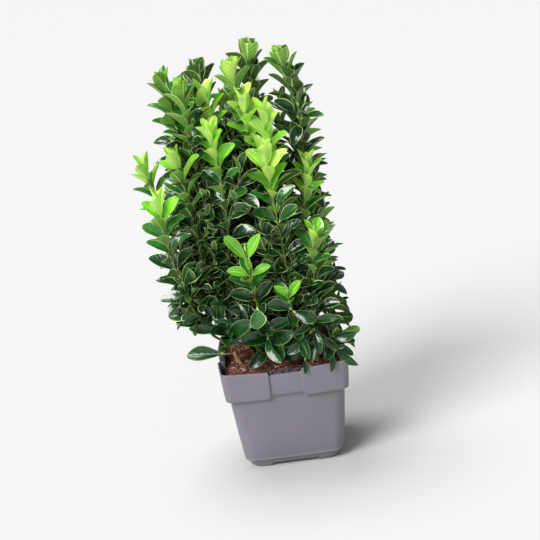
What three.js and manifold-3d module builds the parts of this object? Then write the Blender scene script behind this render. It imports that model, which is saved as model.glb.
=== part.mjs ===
// A potted columnar euonymus: a square nursery pot filled with soil, five short woody stems,
// and the upright leafy shoots that they carry.
// Millimetres, +Z up. The pot stands on Z = 0 with its axis at X = Y = 0, and its front faces -Y.

import * as THREE from "three";
import { mergeVertices } from "three/addons/utils/BufferGeometryUtils.js";
import Module from "manifold-3d";

const wasm = await Module();
wasm.setup();

// Gap between neighbouring pieces
const CLEAR = 0.3;
// How far a cut runs on past the face that it cuts
const OVERCUT = 5;
// Corners of a mesh closer than this are one corner
const MERGE_DISTANCE = 1e-4;

// Pot
const POT_HEIGHT = 77;
const RIM_HALF = 45;
const COLLAR_FOOT_HALF = 43.5;
const COLLAR_HEIGHT = 21.5;
const BODY_TOP_HALF = 40.8;
const BASE_HALF = 35.2;
const WALL = 1.4;
const FLOOR = 4;
const BODY_CORNER = 9;
const COLLAR_CORNER = 6;
const CORNER_STEPS = 4;
const BODY_OVERLAP = 3;
const COLLAR_Z = POT_HEIGHT - COLLAR_HEIGHT;

// Rounded foot of the pot's sides: height above the ground and how far the side draws in there
const FOOT_CURVE = [
  { z: 0, inset: 4.6 },
  { z: 2.5, inset: 2.8 },
  { z: 5.5, inset: 0.9 },
  { z: 12, inset: 0 },
];

// Recess in the middle of each side of the collar
const RECESS_WIDTH = 23;
const RECESS_DEPTH = 1.6;
const RECESS_LIFT = 1.2;
const RECESS_DROP = 1.5;
const LEDGE_DEPTH = 6;

// Drain channels under the pot, each with one drain hole
const CHANNEL_WIDTH = 26;
const CHANNEL_HEIGHT = 2;
const CHANNEL_LENGTH = 16;
const DRAIN_RADIUS = 4;
const DRAIN_INSET = 9;
const DRAIN_SIDES = 10;

// Soil
const SOIL_TOP = 71.5;

// Woody stems: foot on the soil, tip and the radii between
const STEM_SIDES = 8;
const STEM_RINGS = 6;
const STEM_FLARE = 3.0;
const STEM_FOOT_RADIUS = 2.3;
const STEM_TIP_RADIUS = 1.5;
const STEM_FLARE_HEIGHT = 0.12;
// Below 1 a stem leans most near its foot
const STEM_BEND = 0.9;
const STEMS = {
  stem_front_left: { foot: [-31, -8], tip: [-42, -15, 124] },
  stem_front_right: { foot: [24, -21], tip: [20, -25, 122] },
  stem_middle: { foot: [-4, 0], tip: [-7, -2, 136] },
  stem_back_left: { foot: [-24, 23], tip: [-36, 22, 130] },
  stem_back_right: { foot: [21, 21], tip: [22, 20, 134] },
};

// Twigs that run through the shoots
const TWIG_SIDES = 3;
const TWIG_STEP_LENGTH = 24;
const FINE_STEPS = 60;
const TWIG_FOOT_RADIUS = 1.5;
const TWIG_TIP_RADIUS = 0.9;
const TWIG_END_GAP = 2;
const TWIG_SIDE = new THREE.Vector3(0.34, 0.94, 0.02).normalize();
const MOST_PARALLEL = 0.9;
// How far a twig keeps the direction in which it leaves its stem, and the one in which it ends
const SIDE_PULL = 5;
const SIDE_PULL_SHARE = 0.35;
const TIP_PULL_SHARE = 0.3;
const END_PULL_SHARE = 0.5;

// Leaves, which stand in pairs, each pair turned a quarter turn from the next
const LEAF_LENGTH = 24;
const LEAF_WIDTH = 0.55;
const LEAF_WIDEST = 0.56;
const LEAF_TIP_WIDTH = 0.34;
const LEAF_KEEL = 0.32;
const LEAF_THICKNESS = 1.4;
const LEAF_CUP = 0.2;
const LEAF_CURL = 0.08;
const LEAF_ROOT_OFFSET = 0.15;
const LEAF_NECK = 4;
const LEAF_SPACING = 12;
const BARE_FOOT = 8;
const LEAST_BARE_FOOT = 4.8;

// The youngest pairs, counted from the tip: distance below the tip, share of full length,
// and spread from the twig in degrees
const YOUNG_PAIRS = [
  { below: 14, share: 0.63, spread: 18 },
  { below: 21, share: 0.8, spread: 37 },
  { below: 31, share: 0.92, spread: 46 },
];
const OLD_SPREAD = 50;
const SPREAD_PER_PAIR = 2.2;
const LARGEST_SPREAD = 76;
const SMALLEST_SPREAD = 10;

// How much further the leaves of the low shoots round the foot spread and hang, and how much longer they are
const FOOT_SPREAD = 24;
const FOOT_TIP_SPREAD = 14;
const FOOT_SHARE = 1.18;

// Seeded scatter of the leaves
const SEED = 20261;
const SEED_STEP = 97;
const TURN_SCATTER = 13;
const SPREAD_SCATTER = 7;
const LENGTH_SCATTER = 0.09;

// What is tried in turn when a leaf would touch its neighbours
const TRIES = [
  { turn: 0, spread: 0, share: 1 },
  { turn: 16, spread: 0, share: 1 },
  { turn: -16, spread: 0, share: 1 },
  { turn: 0, spread: -10, share: 0.92 },
  { turn: 30, spread: -5, share: 0.92 },
  { turn: -30, spread: -5, share: 0.92 },
  { turn: 12, spread: -15, share: 0.8 },
  { turn: -12, spread: -15, share: 0.8 },
  { turn: 0, spread: -18, share: 0.68 },
];

// Colours and roughness
const POT_GREY = 0x86828c;
const POT_ROUGHNESS = 0.55;
const SOIL_BROWN = 0x2c211b;
const SOIL_ROUGHNESS = 0.95;
const BARK_BROWN = 0x7d6248;
const BARK_ROUGHNESS = 0.85;
const LEAF_ROUGHNESS = 0.35;
const LEAF_GREENS = {
  dark: 0x1f4a22,
  mid: 0x2f6f28,
  bright: 0x63a832,
  fresh: 0x98cf48,
};

// Shoots: the stem each grows from, how far up it (1 is the stem's tip), where the shoot's own tip is,
// how the tip leans away from upright, and the green of its leaves
function shoot(name, stem, at, tip, lean, green) {
  return { name: `shoot_${name}`, stem: `stem_${stem}`, at, tip, lean, green };
}
const SHOOTS = [
  shoot("top_left", "back_left", 0.5, [-57, -6, 288], [-0.18, -0.05], "mid"),
  shoot("top_left_front", "front_left", 1, [-45, -20, 281], [-0.05, 0], "mid"),
  shoot("top_left_back", "back_left", 1, [-33, 20, 287], [0, 0], "dark"),
  shoot("high_left", "middle", 0.85, [-30, -5, 275], [-0.08, 0], "bright"),
  shoot("high_left_front", "front_left", 0.8, [-31, -29, 254], [-0.2, 0], "bright"),
  shoot("top_middle", "middle", 1, [-9, 3, 287], [0.02, 0], "mid"),
  shoot("top_back", "back_right", 0.72, [4, 21, 297], [0.12, 0], "dark"),
  shoot("high_middle", "middle", 0.6, [-4.5, -11, 268], [0, 0], "fresh"),
  shoot("high_right", "front_right", 0.88, [8, -21, 259], [0.02, 0], "fresh"),
  shoot("front_middle", "front_right", 0.62, [5, -36, 236], [-0.06, -0.04], "fresh"),
  shoot("top_right", "back_right", 1, [21.5, 8, 291], [-0.34, 0], "dark"),
  shoot("right_front", "front_right", 1, [34, -15, 221], [0.13, 0], "bright"),
  shoot("left_outer", "back_left", 0.76, [-80, 7, 227], [-0.2, 0], "fresh"),
  shoot("left_front", "front_left", 0.6, [-56, -25, 237], [-0.2, 0], "fresh"),
  shoot("left_low_front", "front_left", 0.38, [-69, -37, 212], [0.04, -0.04], "fresh"),
  shoot("young_front", "middle", 0.34, [-16, -50, 175], [-0.02, -0.3], "bright"),
  shoot("low_right_front", "front_right", 0.4, [33, -40, 177], [0.18, -0.2], "bright"),
  shoot("right_edge", "front_right", 0.75, [42, -2, 168], [0.3, 0.03], "mid"),
  shoot("right_back", "back_right", 0.82, [39, 13, 191], [0.1, 0], "dark"),
  shoot("back_left_outer", "back_left", 0.35, [-62, 32, 203], [-0.14, 0.06], "mid"),
  shoot("back_left", "back_left", 0.88, [-48, 40, 242], [-0.08, 0.06], "bright"),
  shoot("back_middle_left", "back_left", 0.62, [-18, 42, 264], [0, 0.05], "mid"),
  shoot("back_low_left", "back_left", 0.22, [-40, 54, 172], [-0.05, 0.12], "dark"),
  shoot("back_middle", "back_right", 0.5, [7, 47, 236], [0, 0.06], "fresh"),
  shoot("back_right", "back_right", 0.9, [33, 34, 248], [0.05, 0.05], "mid"),
  shoot("back_right_low", "back_right", 0.32, [39, 42, 175], [0.08, 0.1], "bright"),
  shoot("foot_front", "front_right", 0.3, [8, -50, 140], [-0.1, -0.3], "bright"),
  shoot("foot_front_middle", "middle", 0.16, [-9, -44, 116], [0, -0.6], "dark"),
  shoot("foot_front_left", "front_left", 0.24, [-36, -50, 122], [-0.1, -0.5], "dark"),
  shoot("foot_left", "front_left", 0.16, [-66, -3, 82], [-3, 0], "dark"),
  shoot("foot_right", "front_right", 0.22, [52, -14, 96], [1.0, 0], "mid"),
  shoot("foot_right_front", "front_right", 0.14, [42, -42, 108], [0.6, -0.5], "dark"),
  shoot("foot_right_back", "back_right", 0.2, [47, 18, 109], [0.5, -0.1], "dark"),
  shoot("foot_back", "back_right", 0.24, [4, 54, 134], [-0.1, 0.4], "dark"),
  shoot("foot_back_right", "back_right", 0.13, [38, 50, 112], [0.3, 0.5], "dark"),
  shoot("foot_back_left", "back_left", 0.14, [-46, 27, 112], [-0.4, 0.1], "dark"),
  shoot("foot_back_middle", "back_left", 0.18, [-22, 54, 112], [0.1, 0.6], "dark"),
];

const UP = new THREE.Vector3(0, 0, 1);

// Seeded numbers from 0 to 1
function makeRandom(seed) {
  let state = seed >>> 0;
  return () => {
    state = (state + 0x6d2b79f5) >>> 0;
    let mixed = Math.imul(state ^ (state >>> 15), state | 1);
    mixed ^= mixed + Math.imul(mixed ^ (mixed >>> 7), mixed | 61);
    return ((mixed ^ (mixed >>> 14)) >>> 0) / 4294967296;
  };
}

// A three.js geometry as a solid that can be joined and cut
function toSolid(geometry) {
  const bare = geometry.clone();
  bare.deleteAttribute("normal");
  bare.deleteAttribute("uv");
  const merged = mergeVertices(bare, MERGE_DISTANCE);
  return new wasm.Manifold(
    new wasm.Mesh({
      numProp: 3,
      vertProperties: merged.getAttribute("position").array,
      triVerts: new Uint32Array(merged.index.array),
    }),
  );
}

// A solid as a three.js geometry
function toGeometry(solid) {
  const mesh = solid.getMesh();
  const geometry = new THREE.BufferGeometry();
  geometry.setAttribute("position", new THREE.BufferAttribute(mesh.vertProperties, 3));
  geometry.setIndex(new THREE.BufferAttribute(mesh.triVerts, 1));
  geometry.computeVertexNormals();
  return geometry;
}

function geometryOf(points, faces) {
  const geometry = new THREE.BufferGeometry();
  const numbers = points.flatMap((point) => point.toArray());
  geometry.setAttribute("position", new THREE.Float32BufferAttribute(numbers, 3));
  geometry.setIndex(faces.flat());
  return geometry;
}

// A closed skin over rings of points that run counter-clockwise as seen from the last ring
function loft(rings) {
  const count = rings[0].length;
  const points = rings.flat();
  const faces = [];
  for (let ring = 0; ring + 1 < rings.length; ring++) {
    for (let i = 0; i < count; i++) {
      const a = ring * count + i;
      const b = ring * count + ((i + 1) % count);
      faces.push([a, b, b + count]);
      faces.push([a, b + count, a + count]);
    }
  }
  const last = (rings.length - 1) * count;
  for (let i = 1; i + 1 < count; i++) {
    faces.push([0, i + 1, i]);
    faces.push([last, last + i, last + i + 1]);
  }
  return geometryOf(points, faces);
}

// A level square ring with rounded corners
function squareRing(half, z, radius) {
  const ring = [];
  for (let corner = 0; corner < 4; corner++) {
    const centre = new THREE.Vector2(half - radius, half - radius);
    centre.rotateAround(new THREE.Vector2(), (corner * Math.PI) / 2);
    for (let step = 0; step <= CORNER_STEPS; step++) {
      const angle = ((corner + step / CORNER_STEPS) * Math.PI) / 2;
      const x = centre.x + radius * Math.cos(angle);
      const y = centre.y + radius * Math.sin(angle);
      ring.push(new THREE.Vector3(x, y, z));
    }
  }
  return ring;
}

// A block from one corner to the other
function block(low, high) {
  const size = new THREE.Vector3().subVectors(high, low);
  const geometry = new THREE.BoxGeometry(size.x, size.y, size.z);
  geometry.translate((low.x + high.x) / 2, (low.y + high.y) / 2, (low.z + high.z) / 2);
  return toSolid(geometry);
}

function turned(solid, quarters) {
  return solid.rotate([0, 0, 90 * quarters]);
}

function fourSides(solid) {
  return wasm.Manifold.union([0, 1, 2, 3].map((quarters) => turned(solid, quarters)));
}

// Half the width of the pot's body at a height, without the drawn-in foot
function bodyHalf(z) {
  return BASE_HALF + ((BODY_TOP_HALF - BASE_HALF) * z) / COLLAR_Z;
}

// Half the width of the collar at a height
function collarHalf(z) {
  return COLLAR_FOOT_HALF + ((RIM_HALF - COLLAR_FOOT_HALF) * (z - COLLAR_Z)) / COLLAR_HEIGHT;
}

// The wedge in the middle of the front of the collar, from its face inwards by the depths given
function recessWedge(halfWidth, depth, lowZ, highZ) {
  const outer = RIM_HALF + OVERCUT;
  const corners = [
    [-halfWidth, -outer, lowZ],
    [halfWidth, -outer, lowZ],
    [halfWidth, depth - collarHalf(lowZ), lowZ],
    [-halfWidth, depth - collarHalf(lowZ), lowZ],
  ];
  const top = [
    [-halfWidth, -outer, highZ],
    [halfWidth, -outer, highZ],
    [halfWidth, depth - collarHalf(highZ), highZ],
    [-halfWidth, depth - collarHalf(highZ), highZ],
  ];
  return toSolid(loft([corners, top].map((ring) => ring.map((p) => new THREE.Vector3(...p)))));
}

// The space inside the pot, drawn in by a margin
function potInside(margin, top) {
  const inset = WALL + margin;
  const footZ = FOOT_CURVE[FOOT_CURVE.length - 1].z;
  const rings = [
    squareRing(bodyHalf(FLOOR) - FOOT_CURVE[1].inset - inset, FLOOR + margin, BODY_CORNER - inset),
    squareRing(bodyHalf(footZ) - inset, footZ, BODY_CORNER - inset),
    squareRing(BODY_TOP_HALF - inset, COLLAR_Z + inset, BODY_CORNER - inset),
    squareRing(collarHalf(COLLAR_Z + 2 * inset) - inset, COLLAR_Z + 2 * inset, COLLAR_CORNER - inset),
    squareRing(collarHalf(top) - inset, top, COLLAR_CORNER - inset),
  ];
  const bosses = fourSides(
    recessWedge(RECESS_WIDTH / 2 + inset, RECESS_DEPTH + inset, COLLAR_Z - OVERCUT, POT_HEIGHT + OVERCUT),
  );
  return toSolid(loft(rings)).subtract(bosses);
}

function makePot() {
  const bodyRings = FOOT_CURVE.map(({ z, inset }) => squareRing(bodyHalf(z) - inset, z, BODY_CORNER));
  bodyRings.push(squareRing(BODY_TOP_HALF, COLLAR_Z, BODY_CORNER));
  bodyRings.push(squareRing(BODY_TOP_HALF, COLLAR_Z + BODY_OVERLAP, BODY_CORNER));
  const body = toSolid(loft(bodyRings));
  const collarRings = [
    squareRing(COLLAR_FOOT_HALF, COLLAR_Z, COLLAR_CORNER),
    squareRing(RIM_HALF, POT_HEIGHT, COLLAR_CORNER),
  ];
  const collar = toSolid(loft(collarRings));
  const recess = recessWedge(RECESS_WIDTH / 2, RECESS_DEPTH, COLLAR_Z + RECESS_LIFT, POT_HEIGHT + OVERCUT);
  const ledge = block(
    new THREE.Vector3(-RECESS_WIDTH / 2, -RIM_HALF - OVERCUT, POT_HEIGHT - RECESS_DROP),
    new THREE.Vector3(RECESS_WIDTH / 2, LEDGE_DEPTH - RIM_HALF, POT_HEIGHT + OVERCUT),
  );
  const channel = block(
    new THREE.Vector3(-CHANNEL_WIDTH / 2, -RIM_HALF, -OVERCUT),
    new THREE.Vector3(CHANNEL_WIDTH / 2, CHANNEL_LENGTH - BASE_HALF, CHANNEL_HEIGHT),
  );
  const drain = new THREE.CylinderGeometry(DRAIN_RADIUS, DRAIN_RADIUS, 2 * (FLOOR + OVERCUT), DRAIN_SIDES);
  drain.rotateX(Math.PI / 2);
  drain.translate(0, DRAIN_INSET - BASE_HALF, 0);
  const cuts = fourSides(wasm.Manifold.union([recess, ledge, channel, toSolid(drain)]));
  return body.add(collar).subtract(potInside(0, POT_HEIGHT + OVERCUT)).subtract(cuts);
}

function makeSoil() {
  return potInside(CLEAR, SOIL_TOP);
}

// A tapering limb through the points of a path, with its own radius at each
function limb(points, frames, radii, sides) {
  const rings = points.map((point, k) => {
    const ring = [];
    for (let i = 0; i < sides; i++) {
      const angle = (2 * Math.PI * i) / sides;
      ring.push(
        point
          .clone()
          .addScaledVector(frames[k].side, radii[k] * Math.cos(angle))
          .addScaledVector(frames[k].across, radii[k] * Math.sin(angle)),
      );
    }
    return ring;
  });
  return toSolid(loft(rings));
}

// Frames along a path that turn as little as they can: along it, to its side and across
function framesAlong(tangents, firstSide) {
  let side = firstSide.clone();
  return tangents.map((along) => {
    side.addScaledVector(along, -side.dot(along)).normalize();
    return { along, side: side.clone(), across: new THREE.Vector3().crossVectors(along, side) };
  });
}

// The middle line and the radius of a stem, from its foot on the soil (0) to its tip (1)
function stemAt(name, share) {
  const { foot, tip } = STEMS[name];
  const low = new THREE.Vector3(foot[0], foot[1], SOIL_TOP + CLEAR);
  const high = new THREE.Vector3(...tip);
  const centre = low.clone().lerp(high, share);
  centre.x = low.x + (high.x - low.x) * share ** STEM_BEND;
  centre.y = low.y + (high.y - low.y) * share ** STEM_BEND;
  const straight = STEM_FOOT_RADIUS + (STEM_TIP_RADIUS - STEM_FOOT_RADIUS) * share;
  const flare = Math.max(0, 1 - share / STEM_FLARE_HEIGHT) ** 2;
  return { centre, radius: straight + (STEM_FLARE - STEM_FOOT_RADIUS) * flare };
}

function makeStem(name) {
  const shares = [0, STEM_FLARE_HEIGHT / 2];
  for (let ring = 0; ring < STEM_RINGS; ring++) {
    shares.push(STEM_FLARE_HEIGHT + ((1 - STEM_FLARE_HEIGHT) * ring) / (STEM_RINGS - 1));
  }
  const places = shares.map((share) => stemAt(name, share));
  // Level rings, so that the foot is a flat cut on the soil and the tip is a flat cut too
  const frames = places.map(() => ({ side: new THREE.Vector3(1, 0, 0), across: new THREE.Vector3(0, 1, 0) }));
  return limb(
    places.map((place) => place.centre),
    frames,
    places.map((place) => place.radius),
    STEM_SIDES,
  );
}

// The line of a shoot's twig: out of its stem's side, or on from the stem's tip, and up to the shoot's tip
function shootCurve(row) {
  const { centre, radius } = stemAt(row.stem, row.at);
  const tip = new THREE.Vector3(...row.tip);
  const start = centre.clone();
  const outward = new THREE.Vector3(tip.x - centre.x, tip.y - centre.y, 0).normalize();
  const leaves = row.at < 1 ? outward : UP.clone();
  if (row.at < 1) {
    start.addScaledVector(outward, radius + CLEAR);
  } else {
    start.z += CLEAR;
  }
  const lean = new THREE.Vector3(row.lean[0], row.lean[1], 1).normalize();
  const reach = start.distanceTo(tip);
  const sideways = Math.hypot(tip.x - start.x, tip.y - start.y);
  const firstPull = row.at < 1 ? SIDE_PULL + SIDE_PULL_SHARE * sideways : TIP_PULL_SHARE * reach;
  return new THREE.CubicBezierCurve3(
    start,
    start.clone().addScaledVector(leaves, firstPull),
    tip.clone().addScaledVector(lean, -END_PULL_SHARE * reach),
    tip,
  );
}

// Where a twig of a length ends, as a share of it: short of the shoot's tip, which its youngest leaves form
function twigEnd(length) {
  return 1 - (YOUNG_PAIRS[0].below - TWIG_END_GAP) / length;
}

// The twig's points, frames and radii at even steps
function twigLine(row, steps) {
  const curve = shootCurve(row);
  const length = curve.getLength();
  const end = twigEnd(length);
  const shares = Array.from({ length: steps + 1 }, (_, i) => (end * i) / steps);
  const tangents = shares.map((share) => curve.getTangentAt(share));
  const firstSide = Math.abs(tangents[0].dot(TWIG_SIDE)) > MOST_PARALLEL ? UP : TWIG_SIDE;
  return {
    curve,
    length,
    points: shares.map((share) => curve.getPointAt(share)),
    frames: framesAlong(tangents, firstSide),
    radii: shares.map((share) => TWIG_FOOT_RADIUS + (TWIG_TIP_RADIUS - TWIG_FOOT_RADIUS) * share),
  };
}

function makeTwig(row) {
  const steps = Math.ceil(shootCurve(row).getLength() / TWIG_STEP_LENGTH);
  const { points, frames, radii } = twigLine(row, steps);
  return limb(points, frames, radii, TWIG_SIDES);
}

// Where a shoot's pairs of leaves stand: distance below the tip, share of full length, spread from the twig
function leafPairs(row, length) {
  const low = row.name.startsWith("shoot_foot");
  const wider = low ? FOOT_SPREAD : 0;
  const longer = low ? FOOT_SHARE : 1;
  const pairs = YOUNG_PAIRS.map(({ below, share, spread }) => ({
    below,
    share: share * longer,
    spread: spread + (low ? FOOT_TIP_SPREAD : 0),
  }));
  let below = pairs[pairs.length - 1].below + LEAF_SPACING;
  for (let n = 0; length - below > BARE_FOOT; n++) {
    const spread = wider + Math.min(LARGEST_SPREAD, OLD_SPREAD + SPREAD_PER_PAIR * n);
    pairs.push({ below, share: longer, spread });
    below += LEAF_SPACING;
  }
  return pairs.filter((pair) => length - pair.below > LEAST_BARE_FOOT);
}

// One leaf: a cupped blade with a keel, narrow at its root and blunt at its tip.
// Swell makes it fatter, to test its clearance.
function makeLeaf(root, along, up, length, swell) {
  const side = new THREE.Vector3().crossVectors(along, up);
  const half = (length * LEAF_WIDTH) / 2 + swell;
  const place = (s, d, u) =>
    root.clone().addScaledVector(side, s).addScaledVector(along, d).addScaledVector(up, u);
  const lift = LEAF_CUP * half;
  const drop = -LEAF_CURL * length;
  const points = [
    place(0, 0, 0),
    place(half, length * LEAF_WIDEST, lift),
    place(half * LEAF_TIP_WIDTH, length + swell, drop),
    place(-half * LEAF_TIP_WIDTH, length + swell, drop),
    place(-half, length * LEAF_WIDEST, lift),
    place(0, length * LEAF_KEEL, LEAF_THICKNESS / 2 + swell),
    place(0, length * LEAF_KEEL, -LEAF_THICKNESS / 2 - swell),
  ];
  const faces = [];
  for (let i = 0; i < 5; i++) {
    const next = (i + 1) % 5;
    faces.push([i, next, 5]);
    faces.push([next, i, 6]);
  }
  return toSolid(geometryOf(points, faces));
}

function boxesMeet(a, b) {
  return [0, 1, 2].every((axis) => a.min[axis] <= b.max[axis] && b.min[axis] <= a.max[axis]);
}

function touches(solid, box, others) {
  return others.some((other) => boxesMeet(box, other.box) && solid.intersect(other.solid).volume() > 0);
}

function withBox(solid) {
  return { solid, box: solid.boundingBox() };
}

// A leaf's root, direction and upper side from its twig's frame
function leafPlace(frame, point, turn, spread) {
  const radial = frame.side
    .clone()
    .multiplyScalar(Math.cos(turn))
    .addScaledVector(frame.across, Math.sin(turn));
  const along = frame.along
    .clone()
    .multiplyScalar(Math.cos(spread))
    .addScaledVector(radial, Math.sin(spread));
  const up = frame.along
    .clone()
    .multiplyScalar(Math.sin(spread))
    .addScaledVector(radial, -Math.cos(spread));
  return { root: point.clone().addScaledVector(radial, LEAF_ROOT_OFFSET), along, up };
}

// The leaves of one shoot, leaving out any that would touch what is already there
function growLeaves(row, index, obstacles) {
  const random = makeRandom(SEED + SEED_STEP * index);
  const scatter = (amount) => amount * (2 * random() - 1);
  const radians = THREE.MathUtils.degToRad;
  const line = twigLine(row, FINE_STEPS);
  const pairs = leafPairs(row, line.length);
  const firstTurn = radians(360 * random());
  const grown = [];
  pairs.forEach((pair, n) => {
    const share = 1 - pair.below / line.length;
    const end = twigEnd(line.length);
    const step = Math.round((Math.min(share, end) / end) * FINE_STEPS);
    const point = line.curve.getPointAt(share);
    for (const half of [0, 1]) {
      const turn = firstTurn + (n * Math.PI) / 2 + half * Math.PI + radians(scatter(TURN_SCATTER));
      const spread = radians(pair.spread + scatter(SPREAD_SCATTER));
      const length = LEAF_LENGTH * pair.share * (1 + scatter(LENGTH_SCATTER));
      for (const attempt of TRIES) {
        const place = leafPlace(
          line.frames[step],
          point,
          turn + radians(attempt.turn),
          Math.max(radians(SMALLEST_SPREAD), spread + radians(attempt.spread)),
        );
        const long = length * attempt.share;
        const test = makeLeaf(place.root, place.along, place.up, long, CLEAR);
        if (touches(test, test.boundingBox(), obstacles)) {
          continue;
        }
        // Leaves of one shoot meet only at their necks
        const beyondNeck = place.root.clone().addScaledVector(place.along, LEAF_NECK);
        const blade = makeLeaf(beyondNeck, place.along, place.up, long - LEAF_NECK, 0);
        if (touches(blade, blade.boundingBox(), grown)) {
          continue;
        }
        grown.push(withBox(makeLeaf(place.root, place.along, place.up, long, 0)));
        break;
      }
    }
  });
  return grown;
}

// The largest body of a solid with its sealed hollows filled
function wholeBody(solid) {
  return solid.decompose().reduce((best, body) => (body.volume() > best.volume() ? body : best));
}

function material(colour, roughness) {
  return new THREE.MeshStandardMaterial({ color: colour, roughness, metalness: 0 });
}

const plant = new THREE.Group();
plant.name = "potted_columnar_euonymus";

function place(name, solid, colour, roughness) {
  const mesh = new THREE.Mesh(toGeometry(solid), material(colour, roughness));
  mesh.name = name;
  plant.add(mesh);
}

const pot = makePot();
const soil = makeSoil();
const stems = Object.keys(STEMS).map((name) => ({ name, solid: makeStem(name) }));
place("pot", pot, POT_GREY, POT_ROUGHNESS);
place("soil", soil, SOIL_BROWN, SOIL_ROUGHNESS);
stems.forEach(({ name, solid }) => place(name, solid, BARK_BROWN, BARK_ROUGHNESS));

const twigs = SHOOTS.map(makeTwig);
const leaves = [];
const fixed = [pot, soil, ...stems.map((stem) => stem.solid)].map(withBox);
SHOOTS.forEach((row, index) => {
  const otherTwigs = twigs.filter((_, other) => other !== index).map(withBox);
  const grown = growLeaves(row, index, [...fixed, ...otherTwigs, ...leaves]);
  leaves.push(...grown);
  const fused = wholeBody(wasm.Manifold.union([twigs[index], ...grown.map((leaf) => leaf.solid)]));
  place(row.name, fused, LEAF_GREENS[row.green], LEAF_ROUGHNESS);
});

export default plant;
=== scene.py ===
"""A potted columnar euonymus: pot, soil, woody stems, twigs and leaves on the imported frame, and a studio.

Everything is in metres in the frame's own axes: +Z up, the pot on Z = 0, the front of the plant towards -Y.
The tables of stems and shoots, and the lengths whose comments say so, are in millimetres.
"""

import math

import bmesh
import bpy
import numpy as np
from bpy.props import FloatProperty, FloatVectorProperty, IntProperty, PointerProperty
from mathutils import Matrix, Vector, noise


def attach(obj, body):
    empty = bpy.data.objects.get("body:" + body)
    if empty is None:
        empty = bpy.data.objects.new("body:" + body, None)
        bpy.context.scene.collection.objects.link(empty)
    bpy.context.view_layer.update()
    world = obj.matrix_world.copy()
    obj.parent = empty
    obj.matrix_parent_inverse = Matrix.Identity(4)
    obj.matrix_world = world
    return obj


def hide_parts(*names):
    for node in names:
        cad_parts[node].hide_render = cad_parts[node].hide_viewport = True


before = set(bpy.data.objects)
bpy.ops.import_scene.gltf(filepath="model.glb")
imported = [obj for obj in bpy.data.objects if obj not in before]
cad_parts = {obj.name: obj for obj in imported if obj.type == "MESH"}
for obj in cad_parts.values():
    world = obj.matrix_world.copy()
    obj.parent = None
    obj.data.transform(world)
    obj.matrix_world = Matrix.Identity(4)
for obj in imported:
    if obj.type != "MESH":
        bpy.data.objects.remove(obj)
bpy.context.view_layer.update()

bl_info = {
    "name": "Potted Columnar Euonymus",
    "version": (1, 0, 0),
    "blender": (4, 5, 0),
    "location": "View3D > Sidebar > Euonymus",
    "description": "Builds a potted columnar euonymus from named sizes and colours",
    "category": "Add Mesh",
}

MM = 0.001
BODY = "root"

# Woody stems in millimetres: foot on the soil and tip
STEMS = {
    "front_left": ((-31, -8), (-42, -15, 124)),
    "front_right": ((24, -21), (20, -25, 122)),
    "middle": ((-4, 0), (-7, -2, 136)),
    "back_left": ((-24, 23), (-36, 22, 130)),
    "back_right": ((21, 21), (22, 20, 134)),
}

# How a stem leans from foot to tip: below 1 it leans most near its foot
STEM_BEND = 0.9

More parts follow.
